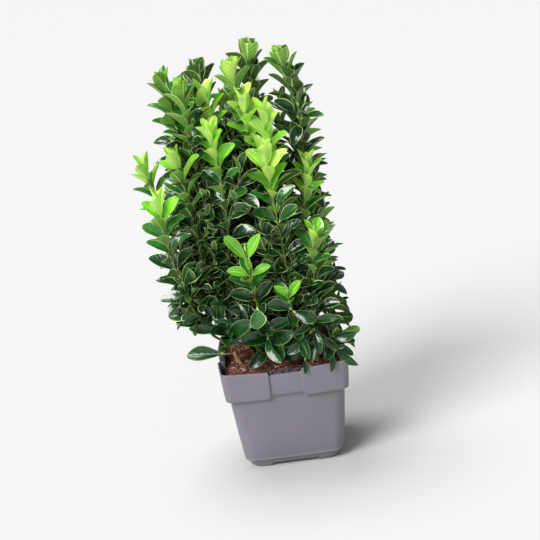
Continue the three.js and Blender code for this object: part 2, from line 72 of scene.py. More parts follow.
# Shoots in millimetres: stem, how far up it, the shoot's tip, the lean there, and the green of its leaves
SHOOTS = {
    "top_left": ("back_left", 0.5, (-57, -6, 288), (-0.18, -0.05), "mid"),
    "top_left_front": ("front_left", 1, (-45, -20, 281), (-0.05, 0), "mid"),
    "top_left_back": ("back_left", 1, (-33, 20, 287), (0, 0), "dark"),
    "high_left": ("middle", 0.85, (-30, -5, 275), (-0.08, 0), "bright"),
    "high_left_front": ("front_left", 0.8, (-31, -29, 254), (-0.2, 0), "bright"),
    "top_middle": ("middle", 1, (-9, 3, 287), (0.02, 0), "mid"),
    "top_back": ("back_right", 0.72, (4, 21, 297), (0.12, 0), "dark"),
    "high_middle": ("middle", 0.6, (-4.5, -11, 268), (0, 0), "fresh"),
    "high_right": ("front_right", 0.88, (8, -21, 259), (0.02, 0), "fresh"),
    "front_middle": ("front_right", 0.62, (5, -36, 236), (-0.06, -0.04), "fresh"),
    "top_right": ("back_right", 1, (21.5, 8, 291), (-0.34, 0), "dark"),
    "right_front": ("front_right", 1, (34, -15, 221), (0.13, 0), "bright"),
    "left_outer": ("back_left", 0.76, (-80, 7, 227), (-0.2, 0), "fresh"),
    "left_front": ("front_left", 0.6, (-56, -25, 237), (-0.2, 0), "fresh"),
    "left_low_front": ("front_left", 0.38, (-69, -37, 212), (0.04, -0.04), "fresh"),
    "young_front": ("middle", 0.34, (-16, -50, 175), (-0.02, -0.3), "bright"),
    "low_right_front": ("front_right", 0.4, (33, -40, 177), (0.18, -0.2), "bright"),
    "right_edge": ("front_right", 0.75, (42, -2, 168), (0.3, 0.03), "mid"),
    "right_back": ("back_right", 0.82, (39, 13, 191), (0.1, 0), "dark"),
    "back_left_outer": ("back_left", 0.35, (-62, 32, 203), (-0.14, 0.06), "mid"),
    "back_left": ("back_left", 0.88, (-48, 40, 242), (-0.08, 0.06), "bright"),
    "back_middle_left": ("back_left", 0.62, (-18, 42, 264), (0, 0.05), "mid"),
    "back_low_left": ("back_left", 0.22, (-40, 54, 172), (-0.05, 0.12), "dark"),
    "back_middle": ("back_right", 0.5, (7, 47, 236), (0, 0.06), "fresh"),
    "back_right": ("back_right", 0.9, (33, 34, 248), (0.05, 0.05), "mid"),
    "back_right_low": ("back_right", 0.32, (39, 42, 175), (0.08, 0.1), "bright"),
    "foot_front": ("front_right", 0.3, (8, -50, 140), (-0.1, -0.3), "bright"),
    "foot_front_middle": ("middle", 0.16, (-9, -44, 116), (0, -0.6), "dark"),
    "foot_front_left": ("front_left", 0.24, (-36, -50, 122), (-0.1, -0.5), "dark"),
    "foot_left": ("front_left", 0.16, (-66, -3, 82), (-3, 0), "dark"),
    "foot_right": ("front_right", 0.22, (52, -14, 96), (1.0, 0), "mid"),
    "foot_right_front": ("front_right", 0.14, (42, -42, 108), (0.6, -0.5), "dark"),
    "foot_right_back": ("back_right", 0.2, (47, 18, 109), (0.5, -0.1), "dark"),
    "foot_back": ("back_right", 0.24, (4, 54, 134), (-0.1, 0.4), "dark"),
    "foot_back_right": ("back_right", 0.13, (38, 50, 112), (0.3, 0.5), "dark"),
    "foot_back_left": ("back_left", 0.14, (-46, 27, 112), (-0.4, 0.1), "dark"),
    "foot_back_middle": ("back_left", 0.18, (-22, 54, 112), (0.1, 0.6), "dark"),
}

# Shoots whose leaves differ from the rest: share of their length and of their width
LEAF_SIZES = {
    "left_outer": (0.9, 0.9),
    "top_left": (1.2, 1),
    "top_left_front": (1.05, 1.05),
    "top_left_back": (1.05, 1.08),
    "top_middle": (1.05, 1.15),
    "top_back": (1.1, 1.12),
    "top_right": (1, 1.15),
    "right_front": (0.9, 1),
    "young_front": (1, 0.85),
    "low_right_front": (0.95, 0.95),
    "right_edge": (0.84, 1),
    "right_back": (0.84, 1),
    "back_right_low": (0.88, 1),
    "foot_left": (1.45, 0.8),
    "foot_front": (0.9, 1),
    "foot_right": (0.75, 1.05),
    "foot_right_front": (1, 0.84),
    "foot_right_back": (0.92, 1),
}
# The same for the rest of the low shoots
FOOT_SIZE = (1.22, 0.84)
# Shoots whose foot stays bare for longer, in millimetres
BARE_FEET = {
    "left_low_front": 14,
    "right_edge": 26,
    "right_back": 30,
    "foot_front_left": 44,
    "foot_back_left": 26,
}
# Shoots whose tip leaves open further, in degrees
OPEN_TIPS = {"foot_front": 8}
# Shoots with pairs of their own at the tip, as in the table of tip pairs
OWN_TIPS = {
    "young_front": ((13, 0.36, 8), (20, 1.2, 32), (27, 0.42, 40), (33, 0.85, 58)),
    "foot_left": ((19, 1, 0),),
}
# Shoots whose young pairs open just to the left and right, and the degrees that these turn to the light
LIGHT_TURNS = {"young_front": 50, "foot_front": 42}
# Shoots that bear one leaf, with its upper side to the front
LONE_LEAVES = ("foot_left",)
# Where that side looks, the leaf's arch in degrees, and how far it lifts
LONE_FACE = (0, -0.5, 0.86)
LONE_ARCH = -4
LONE_LIFT = 0.12

# Leaves that hang down, most of them over the rim: the shoot each grows on, how far along it, where the leaf
# starts and ends, its width as a share of its length, how pointed it is, its green and its tone
HANGING_LEAVES = (
    ("foot_front", 0.3, (15, -44.5, 82.5), (14.5, -50, 72.5), 0.42, 0.8, "dark", 0),
    ("foot_right_front", 0.45, (34.5, -44.5, 83), (32.5, -50, 71.5), 0.45, 0.8, "dark", 0),
    ("foot_right_front", 0.5, (35.5, -38, 85), (50, -49, 73), 0.34, 0.8, "dark", 0),
    ("young_front", 0.5, (-13, -55, 127), (-15, -58, 112), 0.82, 0.6, "mid", 1),
)
# Where the upper sides of hanging leaves look
HANGING_FACE = (0.25, -0.8, -0.45)

# The greens of leaves, from the oldest to the newest
GREENS = ("dark", "mid", "bright", "fresh")
# The greens from the tip of a shoot downwards: how many pairs of leaves take each, and the rest are dark
GREEN_RUNS = {
    "fresh": (("fresh", 4), ("bright", 3), ("mid", 3)),
    "light": (("fresh", 3), ("bright", 3), ("mid", 4)),
    "leftward": (("fresh", 3), ("bright", 1), ("mid", 4)),
    "bright": (("bright", 3), ("mid", 4)),
    "young": (("bright", 4), ("mid", 3)),
    "tee": (("bright", 2), ("mid", 1)),
    "crest": (("bright", 2), ("mid", 2)),
    "mid": (("bright", 2), ("mid", 6)),
    "dark": (("mid", 3),),
    "low": (("mid", 1),),
    "old": (),
}
# Shoots whose greens run differently from the rest
OWN_RUNS = {
    "high_left": "light",
    "high_left_front": "light",
    "right_front": "light",
    "back_left": "light",
    "left_front": "leftward",
    "left_low_front": "leftward",
    "left_outer": "leftward",
    "young_front": "young",
    "top_middle": "bright",
    "top_right": "crest",
    "top_back": "dark",
    "top_left_back": "low",
    "foot_front": "tee",
    "foot_front_middle": "low",
    "foot_front_left": "old",
    "foot_left": "old",
    "foot_right": "tee",
    "foot_right_front": "old",
    "foot_right_back": "old",
    "foot_back": "low",
    "foot_back_right": "old",
    "foot_back_left": "old",
    "foot_back_middle": "old",
}
# The pairs at the tips of old and of young shoots: millimetres below the tip, share of full length, spread
TIP_PAIRS = (
    ((9, 0.3, 6), (13, 0.62, 11), (17.5, 0.92, 23), (22.5, 1, 33)),
    ((11, 0.4, 8), (15.5, 0.9, 17), (20.5, 1.04, 26), (26, 1.06, 34)),
)
# Shoots that have been trimmed: the pairs at their tips, and how much of each leaf the shears left
TRIMMED = ("top_left_front", "top_left_back", "top_middle", "top_back", "top_right")
TRIMMED_PAIRS = ((10.5, 0.72, 7), (14.5, 1.1, 13), (19, 1.2, 20), (24.5, 1.05, 34))
TRIMMED_SHARES = (0.7, 0.66, 0.7, 1.0)
# How narrow the pairs at a tip are, for old and for young shoots
TIP_WIDTHS = ((0.6, 0.75, 0.95, 1), (0.6, 0.85, 1, 1))
# How far leaves open below the tip: degrees at the first full-grown pair, degrees a pair more, and the most
SPREADS = {
    "fresh": (40, 2.4, 74),
    "bright": (40, 2.4, 74),
    "mid": (42, 2.4, 76),
    "dark": (31, 2.2, 74),
    "foot": (44, 1.5, 60),
}
# How far a full-grown leaf arches from root to tip, in degrees, and the age by which it does
ARCHES = {"fresh": (28, 0.5), "bright": (28, 0.5), "mid": (34, 0.42), "dark": (18, 0.5), "foot": (44, 0.36)}
# Width of a leaf as a share of its length, and how pointed it is
SHAPES = {"fresh": (0.46, 0.2), "bright": (0.47, 0.2), "mid": (0.5, 0.2), "dark": (0.54, 0.24)}

# The crown's lower edge at the left, across and up in millimetres: only lone leaves reach below it
OPEN_LEFT = ((-50, -25), (108, 92))
# No sprout ends further right than this, in millimetres
SPROUT_RIGHT = 42
# No sprout ends before the low young shoot: its place across and to the front, and how far to either side
YOUNG_FOOT = (10, -34, 14)

# The middle of the crown seen from above, in millimetres: leaves turn away from it, to the light
CROWN_MIDDLE = (-8, 2)

# How picture colours run: the brightest part, the straight start, where it ends, and the curve above it
BRIGHTEST = 255
STRAIGHT_SLOPE = 12.92
STRAIGHT_END = 0.04045
CURVE_OFFSET = 0.055
CURVE_POWER = 2.4

# The pot's foot is drawn in below a height, most on the ground, both in millimetres, along this curve
FOOT_HEIGHT = 12
FOOT_DRAW = 3.2
FOOT_POWER = 2.2
# The moulded line round the foot, in millimetres: its heights, how far it stands out, and the step below it
LINE_HEIGHTS = (6.5, 7.5)
LINE_RELIEF = 0.3
LINE_STEP = 0.9
# Rings of the underside, as shares of its width
UNDERSIDE_RINGS = (0.02, 0.3, 0.55, 0.8, 0.93)
# Rings up the body, in millimetres, and the height below which the drain channels cut them
BODY_RINGS = (0.0, 0.3, 0.9, 1.8, 3.0, 4.2, 6.4, 6.55, 6.8, 7.3, 7.6, 9, 12, 16, 22, 30, 38, 46, 52)
CHANNEL_TOP = 4
# How far the lowest ring stands in, and the height at which the bulge is full, in millimetres
GROUND_INSET = 0.5
BULGE_FULL = 24
# Rings under the collar, in millimetres: out from the body's top, and below the collar
NECK_RINGS = ((0, 0.4), (0.2, 0))
# Rings of the collar's lower edge, in millimetres: in from the edge, and above it
COLLAR_EDGE_RINGS = ((0.5, 0), (0.1, 0.2), (0, 0.7))
# Rings up the collar, in millimetres above its lower edge
COLLAR_RINGS = (2.5, 6, 10, 14, 17.5, 19.5)
# Rings of the lip's outside, in millimetres: in from the rim, and below it
LIP_RINGS = ((0.05, 0.5), (0.35, 0))
# The ring on top of the lip: how far over the wall, and how deep into the recess and its ledge
LIP_TOP = 0.5
LIP_TOP_DEPTH = 1.6
# Rings of the inside, in millimetres: out from the wall's inner face, below the rim, and kind of shift
INSIDE_RINGS = ((0.35, 0, "ledge"), (0, 0.4, "ledge"), (-0.2, 3, ""), (-0.8, 12, ""))
# How deep a ring runs: past the recess, into it, or behind its ledge
NO_RECESS, IN_RECESS, BEHIND_LEDGE = 0, 1, 2
# Places along a side from its middle, in millimetres, then as shares of the way to the corner
SIDE_PLACES = (0, 2, 5, 8, 10, 10.8, 11.2, 11.5, 11.8, 12.2, 13, 14)
CORNER_PLACES = (0.2, 0.45, 0.72, 1.0)
CORNER_STEPS = 10
# The recess, in millimetres: radius of its lower corners, softness of its edges, dip of the wall behind it
RECESS_ROUND = 2
RECESS_SOFTNESS = 0.25
WALL_DIP = 0.3
# The drain channels, in millimetres: softness of their sides, and where they run out towards the middle
CHANNEL_SOFTNESS = 0.6
CHANNEL_ENDS = (17, 15)
# How much of its own height a ring adds to a channel's
CHANNEL_RISE = 0.2

# Plastic: scales of the noise of its wear, flecks and grain, the wear's darkest and palest, the grain's bump
WEAR_SCALE = 26.0
WEAR_TINTS = (0.97, 1.08)
FLECK_SCALE = 330.0
GRAIN_SCALE = 900.0
GRAIN_BUMP = 0.1
# The noise at which flecks start and are full, and how strong they are
FLECK_START = 0.73
FLECK_FULL = 0.8
FLECK_STRENGTH = 0.8
PLASTIC_ROUGHNESS = (0.4, 0.54)
# Detail of noise in clouds, grain and flecks
CLOUD_DETAIL = 3.0
GRAIN_DETAIL = 4.0
FLECK_DETAIL = 1.0
# Depth of a full bump, in metres
GRAIN_DEPTH = 0.0006
# The noise between which a colour runs from low to high
RAMP_ENDS = (0.3, 0.7)
# Rough surfaces: scale of the clouds in their colour, roughness, bump with its scale, and any stretch
EARTH = {"scale": 420.0, "roughness": 0.95, "bump": 0.9, "bump_scale": 1500.0}
SCRAPS = {"scale": 300.0, "roughness": 0.85, "bump": 0.4, "bump_scale": 1800.0}
BARK = {"scale": 260.0, "roughness": 0.85, "bump": 0.7, "bump_scale": 900.0, "stretch": (1, 1, 0.25)}
RIND = {"scale": 150.0, "roughness": 0.5, "bump": 0.3, "bump_scale": 900.0}

# Soil: points along a side of its grid, and how far and how sharply its corners are drawn in, in millimetres
SOIL_STEPS = 80
SOIL_CORNER = 1.2
SOIL_CORNER_POWER = 8
SOIL_TINTS = (0.5, 1.4)
# The soil's lumps: scale, height in the noise, then its roughness, gap and octaves
LUMP_SCALE = 160
LUMP_LEVEL = 0.3
LUMP_NOISE = (1.0, 2.0, 4)
# The soil sinks to the wall, in millimetres, from this share of its half width on and over this share
SOIL_SINK = 1.2
SINK_START = 0.8
SINK_WIDTH = 0.2

# Litter: shortest and longest, thinnest and thickest in millimetres, arch, and its rings and sides
LITTER = {
    "crumb": ((0.8, 2.4), (0.4, 0.9), 0.1, (4, 6)),
    "chip": ((1.2, 4.0), (0.18, 0.5), 0.2, (4, 6)),
    "fibre": ((3.0, 8.0), (0.1, 0.24), 0.4, (7, 5)),
    "speck": ((0.6, 1.4), (0.3, 0.55), 0.1, (4, 6)),
}
LITTER_TINTS = (0.65, 1.3)
# Kinds of which one in so many lies on the recess's ledge
LEDGE_LITTER = ("crumb", "speck")
LEDGE_ONE_IN = 40
# Litter on the ledge: share of its width, then millimetres inwards, below the rim, and the longest
LEDGE_SPAN = 0.9
LEDGE_INWARDS = (1.2, 2.8)
LEDGE_BELOW = (0.6, 1.4)
LEDGE_LONGEST = 2.5
# Litter on the soil: share of its width, and millimetres kept off its edge
SOIL_SPAN = 0.96
SOIL_EDGE = 1.5
# How litter lies: tilt in radians, height as a share of thickness, bow up and sideways, taper, roughness
LITTER_TILT = 0.35
LITTER_HEIGHT = 0.4
BOW_UP = (-0.2, 1)
BOW_SIDEWAYS = (-1, 1)
LITTER_TAPER = 0.75
LITTER_ROUGHNESS = 0.35

# Stems, in millimetres: how far they start above the soil, and how far the lowest ring is sunk from there
STEM_CLEARANCE = 0.3
STEM_SINK = 1.2
# The share of a stem over which its foot flares, and the share of its radius that its last ring keeps
FLARE_SHARE = 0.12
STEM_END = 0.5
STEM_SIDES = 20
STEM_RINGS = 70
# The bark's noise: round the stem, up it, and from one stem to the next, then its roughness, gap and octaves
BARK_ROUND = 2.2
BARK_UP = 90
BARK_SHIFT = 300
BARK_NOISE = (1.0, 2.0, 3)

# The line of a twig: points of its fine curve, and even steps of a long one, of a sprout and of a short one
CURVE_POINTS = 401
TWIG_STEPS = 80
SPROUT_STEPS = 20
SHORT_STEPS = 16
# Where a twig's frame starts from, and how nearly the twig may run that way
TWIG_SIDE = (0.34, 0.94, 0.02)
NEARLY_ALONG = 0.9
# Where a shoot starts: share of its stem's radius, or millimetres below its stem's tip
SHOOT_START = 0.6
SHOOT_OVERLAP = 0.5
# How far a shoot runs on as it starts: millimetres and share of its way sideways, or share of its reach
SHOOT_PULL = 5
SHOOT_SIDE_PULL = 0.35
SHOOT_UP_PULL = 0.3
SHOOT_TIP_PULL = 0.5
# Rings of a twig: millimetres between them, the fewest, its sides, and how small the last one is
TWIG_RING_STEP = 2.4
TWIG_RINGS = 6
TWIG_SIDES = 8
TWIG_END_SHARE = 0.4
# Where the first swelling lies below a shoot's tip, in millimetres, and how sharp swellings are
FIRST_NODE = 26.5
NODE_SHARPNESS = 6
TWIG_TINTS = (0.8, 1.15)
# The shortest length that a twig's taper is worked out over, in metres
SHORTEST = 1e-6

# Seeds of shoots and of sprouts, counted from the growth's seed
SHOOT_SEED_STEP = 97
SPROUT_SEED = 7001
SPROUT_SEED_STEP = 89
# How much further apart each older pair stands, and the share of a bare foot that stays bare in any case
SPACING_GROWTH = 0.045
BARE_SHARE = 0.6
# A twig ends this far below its shoot's tip, in millimetres
TWIG_END = 10.5
# The brown share of a twig, in the crown and low down
WOODY_SHARES = (0.2, 0.7)
# How far the first pair strays, in radians, and how much closer or wider a shoot's pairs stand
FIRST_TURN_SCATTER = 0.45
SPACING_SHARES = (0.88, 1.06)
# How far below a shoot's tip leaves are old and side twigs start, in millimetres
OLD_LEAVES = 75
SIDE_TWIGS_BELOW = 55
# The age at which leaves start to arch, and how much further old blades turn to the light
ARCH_START = 0.1
OLD_LIGHT_TURN = 0.8

# Scatter among leaves: degrees of arch, twist and roll, and shares of width, cup, sag and point
ARCH_SCATTER = 12
TWIST_SCATTER = 14
ROLL_SCATTER = 10
WIDTH_SHARES = (0.9, 1.1)
CUP_SHARES = (0.75, 1.25)
SAG_SHARES = (0.1, 1)
POINT_SCATTER = 0.2
# A leaf opens less by this share of its arch, but by these degrees at least
ARCH_TAKEN = 0.42
LEAST_SPREAD = 4
# How much narrower and how much more pointed old leaves are, in the crown and low down
NARROWING = (0.05, 0.22)
POINTING = (0.12, 0.3)
# How twisted and cupped a new leaf is, and how much flatter an old one
TWIST_NEW = 0.4
CUP_NEW = 0.74
CUP_LOSS = 0.16
# How far a leaf that would touch the pot is lifted, one try after the other
LIFTS = (0.35, 0.7)
# Where a leaf is tested: places along it, and the share of its arch that it has taken there
TEST_PLACES = (0.35, 0.6, 0.8, 1.0)
TEST_ARCH = 0.45
# How far leaves keep off, in millimetres: above the soil, above the rim, and below the rim outside the pot
SOIL_CLEARANCE = 3
RIM_CLEARANCE = 1.5
OUTSIDE_DROP = 8
# How far the rim counts inwards and outwards, in millimetres
RIM_INWARDS = 5
RIM_OUTWARDS = 4

# Side twigs: spread in degrees, shortest and longest in millimetres, and lift and pull as shares of length
SIDE_SPREAD = 42
SIDE_LENGTHS = (11, 22)
SIDE_LIFT = 0.3
SIDE_PULL = 0.35
# Sprouts: how far up a stem the first grows, degrees from one to the next, and their scatter in radians
SPROUT_LOWEST = 0.38
SPROUT_TURN = 137.5
SPROUT_TURN_SCATTER = 0.4
# Their first rise, shortest and longest in millimetres, then reach, lift and pulls as shares of length
SPROUT_RISE = 0.1
SPROUT_LENGTHS = (20, 38)
SPROUT_REACH = 0.8
SPROUT_LIFT = 0.5
SPROUT_PULL = 0.4
SPROUT_TIP_PULL = 0.6
SPROUT_WOODY = 0.6
# Hanging leaves: how their twigs start and end, in millimetres, how brown, and the blade's arch and cup
HANGING_PULL = 3
HANGING_END = (0, 4, 2)
HANGING_WOODY = 0.6
HANGING_ARCH = 8
HANGING_CUP = 0.5
# Short twigs: radii at foot and end as shares of a twig's tip, millimetres between pairs, fewest pairs
SHORT_RADII = (1.15, 0.7)
SHORT_SPACING = 6.4
SHORT_PAIRS = 2
# Their leaves: first, more with each pair from the tip, and most
SHORT_SPREADS = (24, 14, 76)
SHORT_ARCHES = (8, 14, 44)
SHORT_SIZES = (0.68, 0.16, 1.15)
# Their share of the usual width, and their age at the tip and with each pair
SHORT_WIDTH = 0.74
SHORT_AGE = 0.4
SHORT_AGING = 0.15

# Places along a leaf and across its two faces
LEAF_STATIONS = np.array([0, 0.06, 0.15, 0.28, 0.42, 0.56, 0.7, 0.82, 0.91, 0.97, 1.0])
UPPER_COLUMNS = np.array([-1, -0.9, -0.5, -0.07, 0.07, 0.5, 0.9, 1.0])
UNDER_COLUMNS = np.array([-1, -0.91, -0.5, -0.08, 0.08, 0.5, 0.91, 1.0])
# The parts of a leaf, and those of its two faces from side to side
BLADE, MARGIN, MIDRIB, UNDERSIDE, STALK = range(5)
UPPER_PARTS = (MARGIN, BLADE, BLADE, MIDRIB, BLADE, BLADE, MARGIN)
UNDER_PARTS = (MARGIN, UNDERSIDE, UNDERSIDE, STALK, UNDERSIDE, UNDERSIDE, MARGIN)
# The stalk: its rows of faces, its share of the length and of the width, and the width of the tip
STALK_ROWS = 2
STALK_SHARE = 0.06
STALK_WIDTH = 0.09
TIP_WIDTH = 0.04
# The outlines of blunt and pointed leaves: half waves that lean to the tip, and how full they are
ALMOST_ONE = 0.9999
BLUNT_LEAN = 1.42
BLUNT_POWER = 0.8
BLUNT_FULLNESS = 0.35
POINTED_LEAN = 1.15
POINTED_POWER = 0.88
# How the arch grows along a leaf, how far its tip curls, in radians, and where its roll is complete
ARCH_POWER = 1.3
TIP_CURL = 0.12
TIP_CURL_POWER = 5
ROLL_END = 0.3
# The cup of a blade: its loss at the tip, how it rises, how far its edge turns back, and from where
FOLD_LOSS = 0.55
CUP_POWER = 1.3
EDGE_TURN = 0.5
EDGE_START = 0.6
# Ripples of the margin: along it, from leaf to leaf, from side to side, and their depth
RIPPLES = 9
RIPPLE_SHIFT = 60
RIPPLE_SIDES = 1.7
RIPPLE_DEPTH = 0.12
# The midrib's groove above, as a share of the thickness, and its half width
GROOVE_DEPTH = 0.4
GROOVE_HALF = 0.1
# The body of a leaf grows this fast with its width, and its keel below runs out past the tip
BODY_GROWTH = 1.4
KEEL_DEPTH = 0.8
KEEL_END = 1.2

# Finish of each green: roughness, clear coat, and how far light glows through
FINISHES = {
    "dark": (0.25, 0.85, 0.0),
    "mid": (0.28, 0.8, 0.3),
    "bright": (0.33, 0.5, 0.6),
    "fresh": (0.38, 0.35, 0.6),
}
# How strong a blade's veins are, and the finish of a leaf's other parts: roughness, clear coat and veins
BLADE_VEINS = 0.25
PART_FINISHES = {
    "margin": (0.45, 0.0, 0.05),
    "midrib": (0.4, 0.1, 0.05),
    "under": (0.5, 0.05, 0.4),
    "stalk": (0.45, 0.1, 0.05),
}
# The share of the clear coat that low leaves have, as they are dustier
LOW_COAT = 0.6
# Tones of a green, how pale the midrib and young margins are, and which greens are young
TONES = (0.82, 1.0, 1.2)
MIDRIB_TINT = 1.5
YOUNG_MARGIN_TINT = 1.25
YOUNG_GREENS = ("bright", "fresh")
# A leaf's colour wanders: scale and detail of its noise, darkest and palest
LEAF_CLOUDS = 95.0
LEAF_CLOUD_DETAIL = 2.0
LEAF_TINTS = (0.8, 1.2)
# Veins: their slant, how many, and their depth in metres
VEIN_SLANT = -0.28
VEIN_BANDS = 44.0
VEIN_DEPTH = 0.00025
# A leaf's wax, and the light that glows through it: how far for red, green and blue, and its scale in metres
LEAF_SPECULAR = 0.25
WAX_ROUGHNESS = 0.15
WAX_INDEX = 1.6
GLOW_RADIUS = (0.6, 1.0, 0.2)
GLOW_SCALE = 0.0012

# The studio: half the floor's width and its roughness, where the lights stand, how far off, and their aim
FLOOR_REACH = 50.0
FLOOR_ROUGHNESS = 0.9
KEY_FROM = (-0.58, -0.62, 0.72)
TOP_FROM = (-0.2, 0.22, 1.0)
FILL_FROM = (0.15, -1.0, 0.12)
LIGHT_DISTANCE = 3
LIGHT_AIM = (0, 0, 0.15)
WHITE = (1, 1, 1, 1)
# The camera's sensor in millimetres, and how far it sees in metres
SENSOR_WIDTH = 36
FARTHEST_SEEN = 150


def linear_part(part):
    """One part of a picture's colour, from 0 to 1, as its linear value."""
    if part <= STRAIGHT_END:
        return part / STRAIGHT_SLOPE
    return ((part + CURVE_OFFSET) / (1 + CURVE_OFFSET)) ** CURVE_POWER


def linear(red, green, blue):
    """A picture's colour, each part from 0 to 255, as the linear colour that shaders take."""
    return tuple(linear_part(part / BRIGHTEST) for part in (red, green, blue))


def length_property(name, description, default):
    """A length in metres."""
    return FloatProperty(name=name, description=description, default=default, unit="LENGTH", precision=4)


def colour_property(name, description, red, green, blue):
    """A colour given by its picture values."""
    return FloatVectorProperty(
        name=name,
        description=description,
        default=linear(red, green, blue),
        subtype="COLOR",
        size=3,
        min=0,
        max=1,
    )


def angle_property(name, description, degrees):
    """An angle."""
    return FloatProperty(name=name, description=description, default=math.radians(degrees), subtype="ANGLE")


def share_property(name, description, default):
    """A plain share or strength."""
    return FloatProperty(name=name, description=description, default=default)


class EuonymusPotSettings(bpy.types.PropertyGroup):
    """Sizes and colour of the nursery pot."""

    height: length_property("Height", "Height of the pot", 0.077)
    rim_half: length_property("Rim half width", "Half the width of the rim", 0.045)
    collar_foot_half: length_property("Collar foot half width", "Half the width of its lower edge", 0.0435)
    collar_height: length_property("Collar height", "Height of the broad collar", 0.0215)
    body_top_half: length_property("Body top half width", "Half the width under the collar", 0.0408)
    base_half: length_property("Base half width", "Half the width of the body at the ground", 0.0352)
    wall: length_property("Wall", "Thickness of the wall", 0.0014)
    body_corner: length_property("Body corner", "Radius of the body's upright corners", 0.009)
    collar_corner: length_property("Collar corner", "Radius of the collar's upright corners", 0.006)
    bulge: length_property("Bulge", "How far the filled sides bulge", 0.0020)
    rim_dip: length_property("Rim dip", "How far the rim sinks in the middle of a side", 0.0012)
    recess_half: length_property("Recess half width", "Half the width of the recess in the collar", 0.0115)
    recess_depth: length_property("Recess depth", "Depth of the recess in the collar", 0.0016)
    recess_lift: length_property("Recess lift", "How much higher the recess's lower edge is", 0.0012)
    recess_drop: length_property("Recess drop", "How much lower the lip is at the recess", 0.0028)
    ledge: length_property("Ledge", "Depth of the ledge behind the recess's lip", 0.0022)
    channel_half: length_property("Channel half width", "Half the width of a drain channel", 0.0165)
    channel_height: length_property("Channel height", "Height of a drain channel", 0.002)
    colour: colour_property("Colour", "Grey of the plastic", 115, 111, 120)
    # A darker grey for the wall that rises behind the recess's ledge
    recess_wall_grey: colour_property("Recess wall", "Darker grey where soil has stained the plastic", 74, 74, 90)
    scuff: colour_property("Scuffs", "Paler grey of scuffs and dust", 134, 125, 118)


class EuonymusSoilSettings(bpy.types.PropertyGroup):
    """Sizes and colours of the soil and of what lies on it."""

    top: length_property("Top", "Height of the soil", 0.0715)
    half: length_property("Half width", "Half the width of the soil's surface", 0.0416)
    relief: length_property("Relief", "How uneven the soil is", 0.0016)
    crumbs: IntProperty(name="Crumbs", description="Number of crumbs of soil", default=520)
    chips: IntProperty(name="Chips", description="Number of red-brown chips of bark", default=400)
    fibres: IntProperty(name="Fibres", description="Number of pale fibres", default=200)
    specks: IntProperty(name="Specks", description="Number of pale specks", default=60)
    seed: IntProperty(name="Seed", description="Seed of the scatter", default=11)
    colour: colour_property("Soil", "Dark brown of the soil", 98, 62, 57)
    chip_colour: colour_property("Chips", "Red-brown of the chips", 204, 92, 76)
    fibre_colour: colour_property("Fibres", "Straw colour of the fibres", 240, 196, 164)
    speck_colour: colour_property("Specks", "Pale yellow of the specks", 205, 184, 120)


class EuonymusWoodSettings(bpy.types.PropertyGroup):
    """Sizes and colours of stems and twigs."""

    stem_flare: length_property("Stem flare", "Radius of a stem where it leaves the soil", 0.0024)
    stem_foot: length_property("Stem foot radius", "Radius of a stem above its flare", 0.0018)
    stem_tip: length_property("Stem tip radius", "Radius of a stem at its tip", 0.0013)
    bark_relief: length_property("Bark relief", "Depth of the bark's ridges", 0.00035)
    twig_foot: length_property("Twig foot radius", "Radius of a twig where it leaves its stem", 0.00085)
    twig_tip: length_property("Twig tip radius", "Radius of a twig at its tip", 0.00045)
    node_swell: length_property("Node swelling", "How far a twig swells where leaves stand", 0.0002)
    bark: colour_property("Bark", "Brown of the stems", 206, 170, 126)
    bark_dark: colour_property("Dark bark", "Brown in the bark's cracks", 146, 112, 78)
    twig: colour_property("Twig", "Green of the young twigs", 104, 140, 62)
    twig_old: colour_property("Old twig", "Brown of the lower twigs", 112, 94, 58)


class EuonymusLeafSettings(bpy.types.PropertyGroup):
    """Sizes and colours of the leaves."""

    length: length_property("Length", "Length of a full-grown leaf", 0.0210)
    thickness: length_property("Thickness", "Thickness of a leaf", 0.0004)
    spacing: length_property("Spacing", "Distance between pairs of leaves along a twig", 0.0050)
    widest_spacing: share_property("Widest spacing", "How much further apart the old pairs stand", 1.2)
    bare_foot: length_property("Bare foot", "Length of twig without leaves beside the stem", 0.008)
    turn_scatter: angle_property("Turn scatter", "How far a pair turns from its quarter turn", 14)
    spread_scatter: angle_property("Spread scatter", "How far a leaf's spread strays", 8)
    length_scatter: share_property("Length scatter", "How far a leaf's length strays", 0.1)
    foot_spread: angle_property("Foot spread", "How much wider the leaves of the low shoots spread", 14)
    sag: share_property("Sag", "How far the leaves of the low shoots hang down", 1.1)
    light_turn: angle_property("Light turn", "How far a blade turns its upper side to the outside", 25)
    side_twigs: share_property("Side twigs", "Share of the lower leaf joints that grow a side twig", 0.55)
    sprouts: IntProperty(name="Sprouts", description="Number of sprouts on each woody stem", default=13)
    seed: IntProperty(name="Seed", description="Seed of the growth", default=20261)
    dark: colour_property("Dark", "Upper side of old leaves", 23, 62, 25)
    mid: colour_property("Mid", "Upper side of full-grown leaves", 45, 110, 37)
    bright: colour_property("Bright", "Upper side of young leaves", 128, 200, 60)
    fresh: colour_property("Fresh", "Upper side of the newest leaves", 176, 228, 94)
    dark_under: colour_property("Dark underside", "Underside of old leaves", 82, 116, 56)
    mid_under: colour_property("Mid underside", "Underside of full-grown leaves", 126, 172, 74)
    bright_under: colour_property("Bright underside", "Underside of young leaves", 190, 228, 108)
    fresh_under: colour_property("Fresh underside", "Underside of the newest leaves", 190, 230, 118)
    stalk: colour_property("Stalk", "Stalk of a leaf and midrib of its underside", 188, 216, 128)
    margin: colour_property("Margin", "Pale edge of old leaves", 192, 218, 146)
    low_margin: colour_property("Low margin", "Edge of old leaves near the foot", 104, 142, 82)


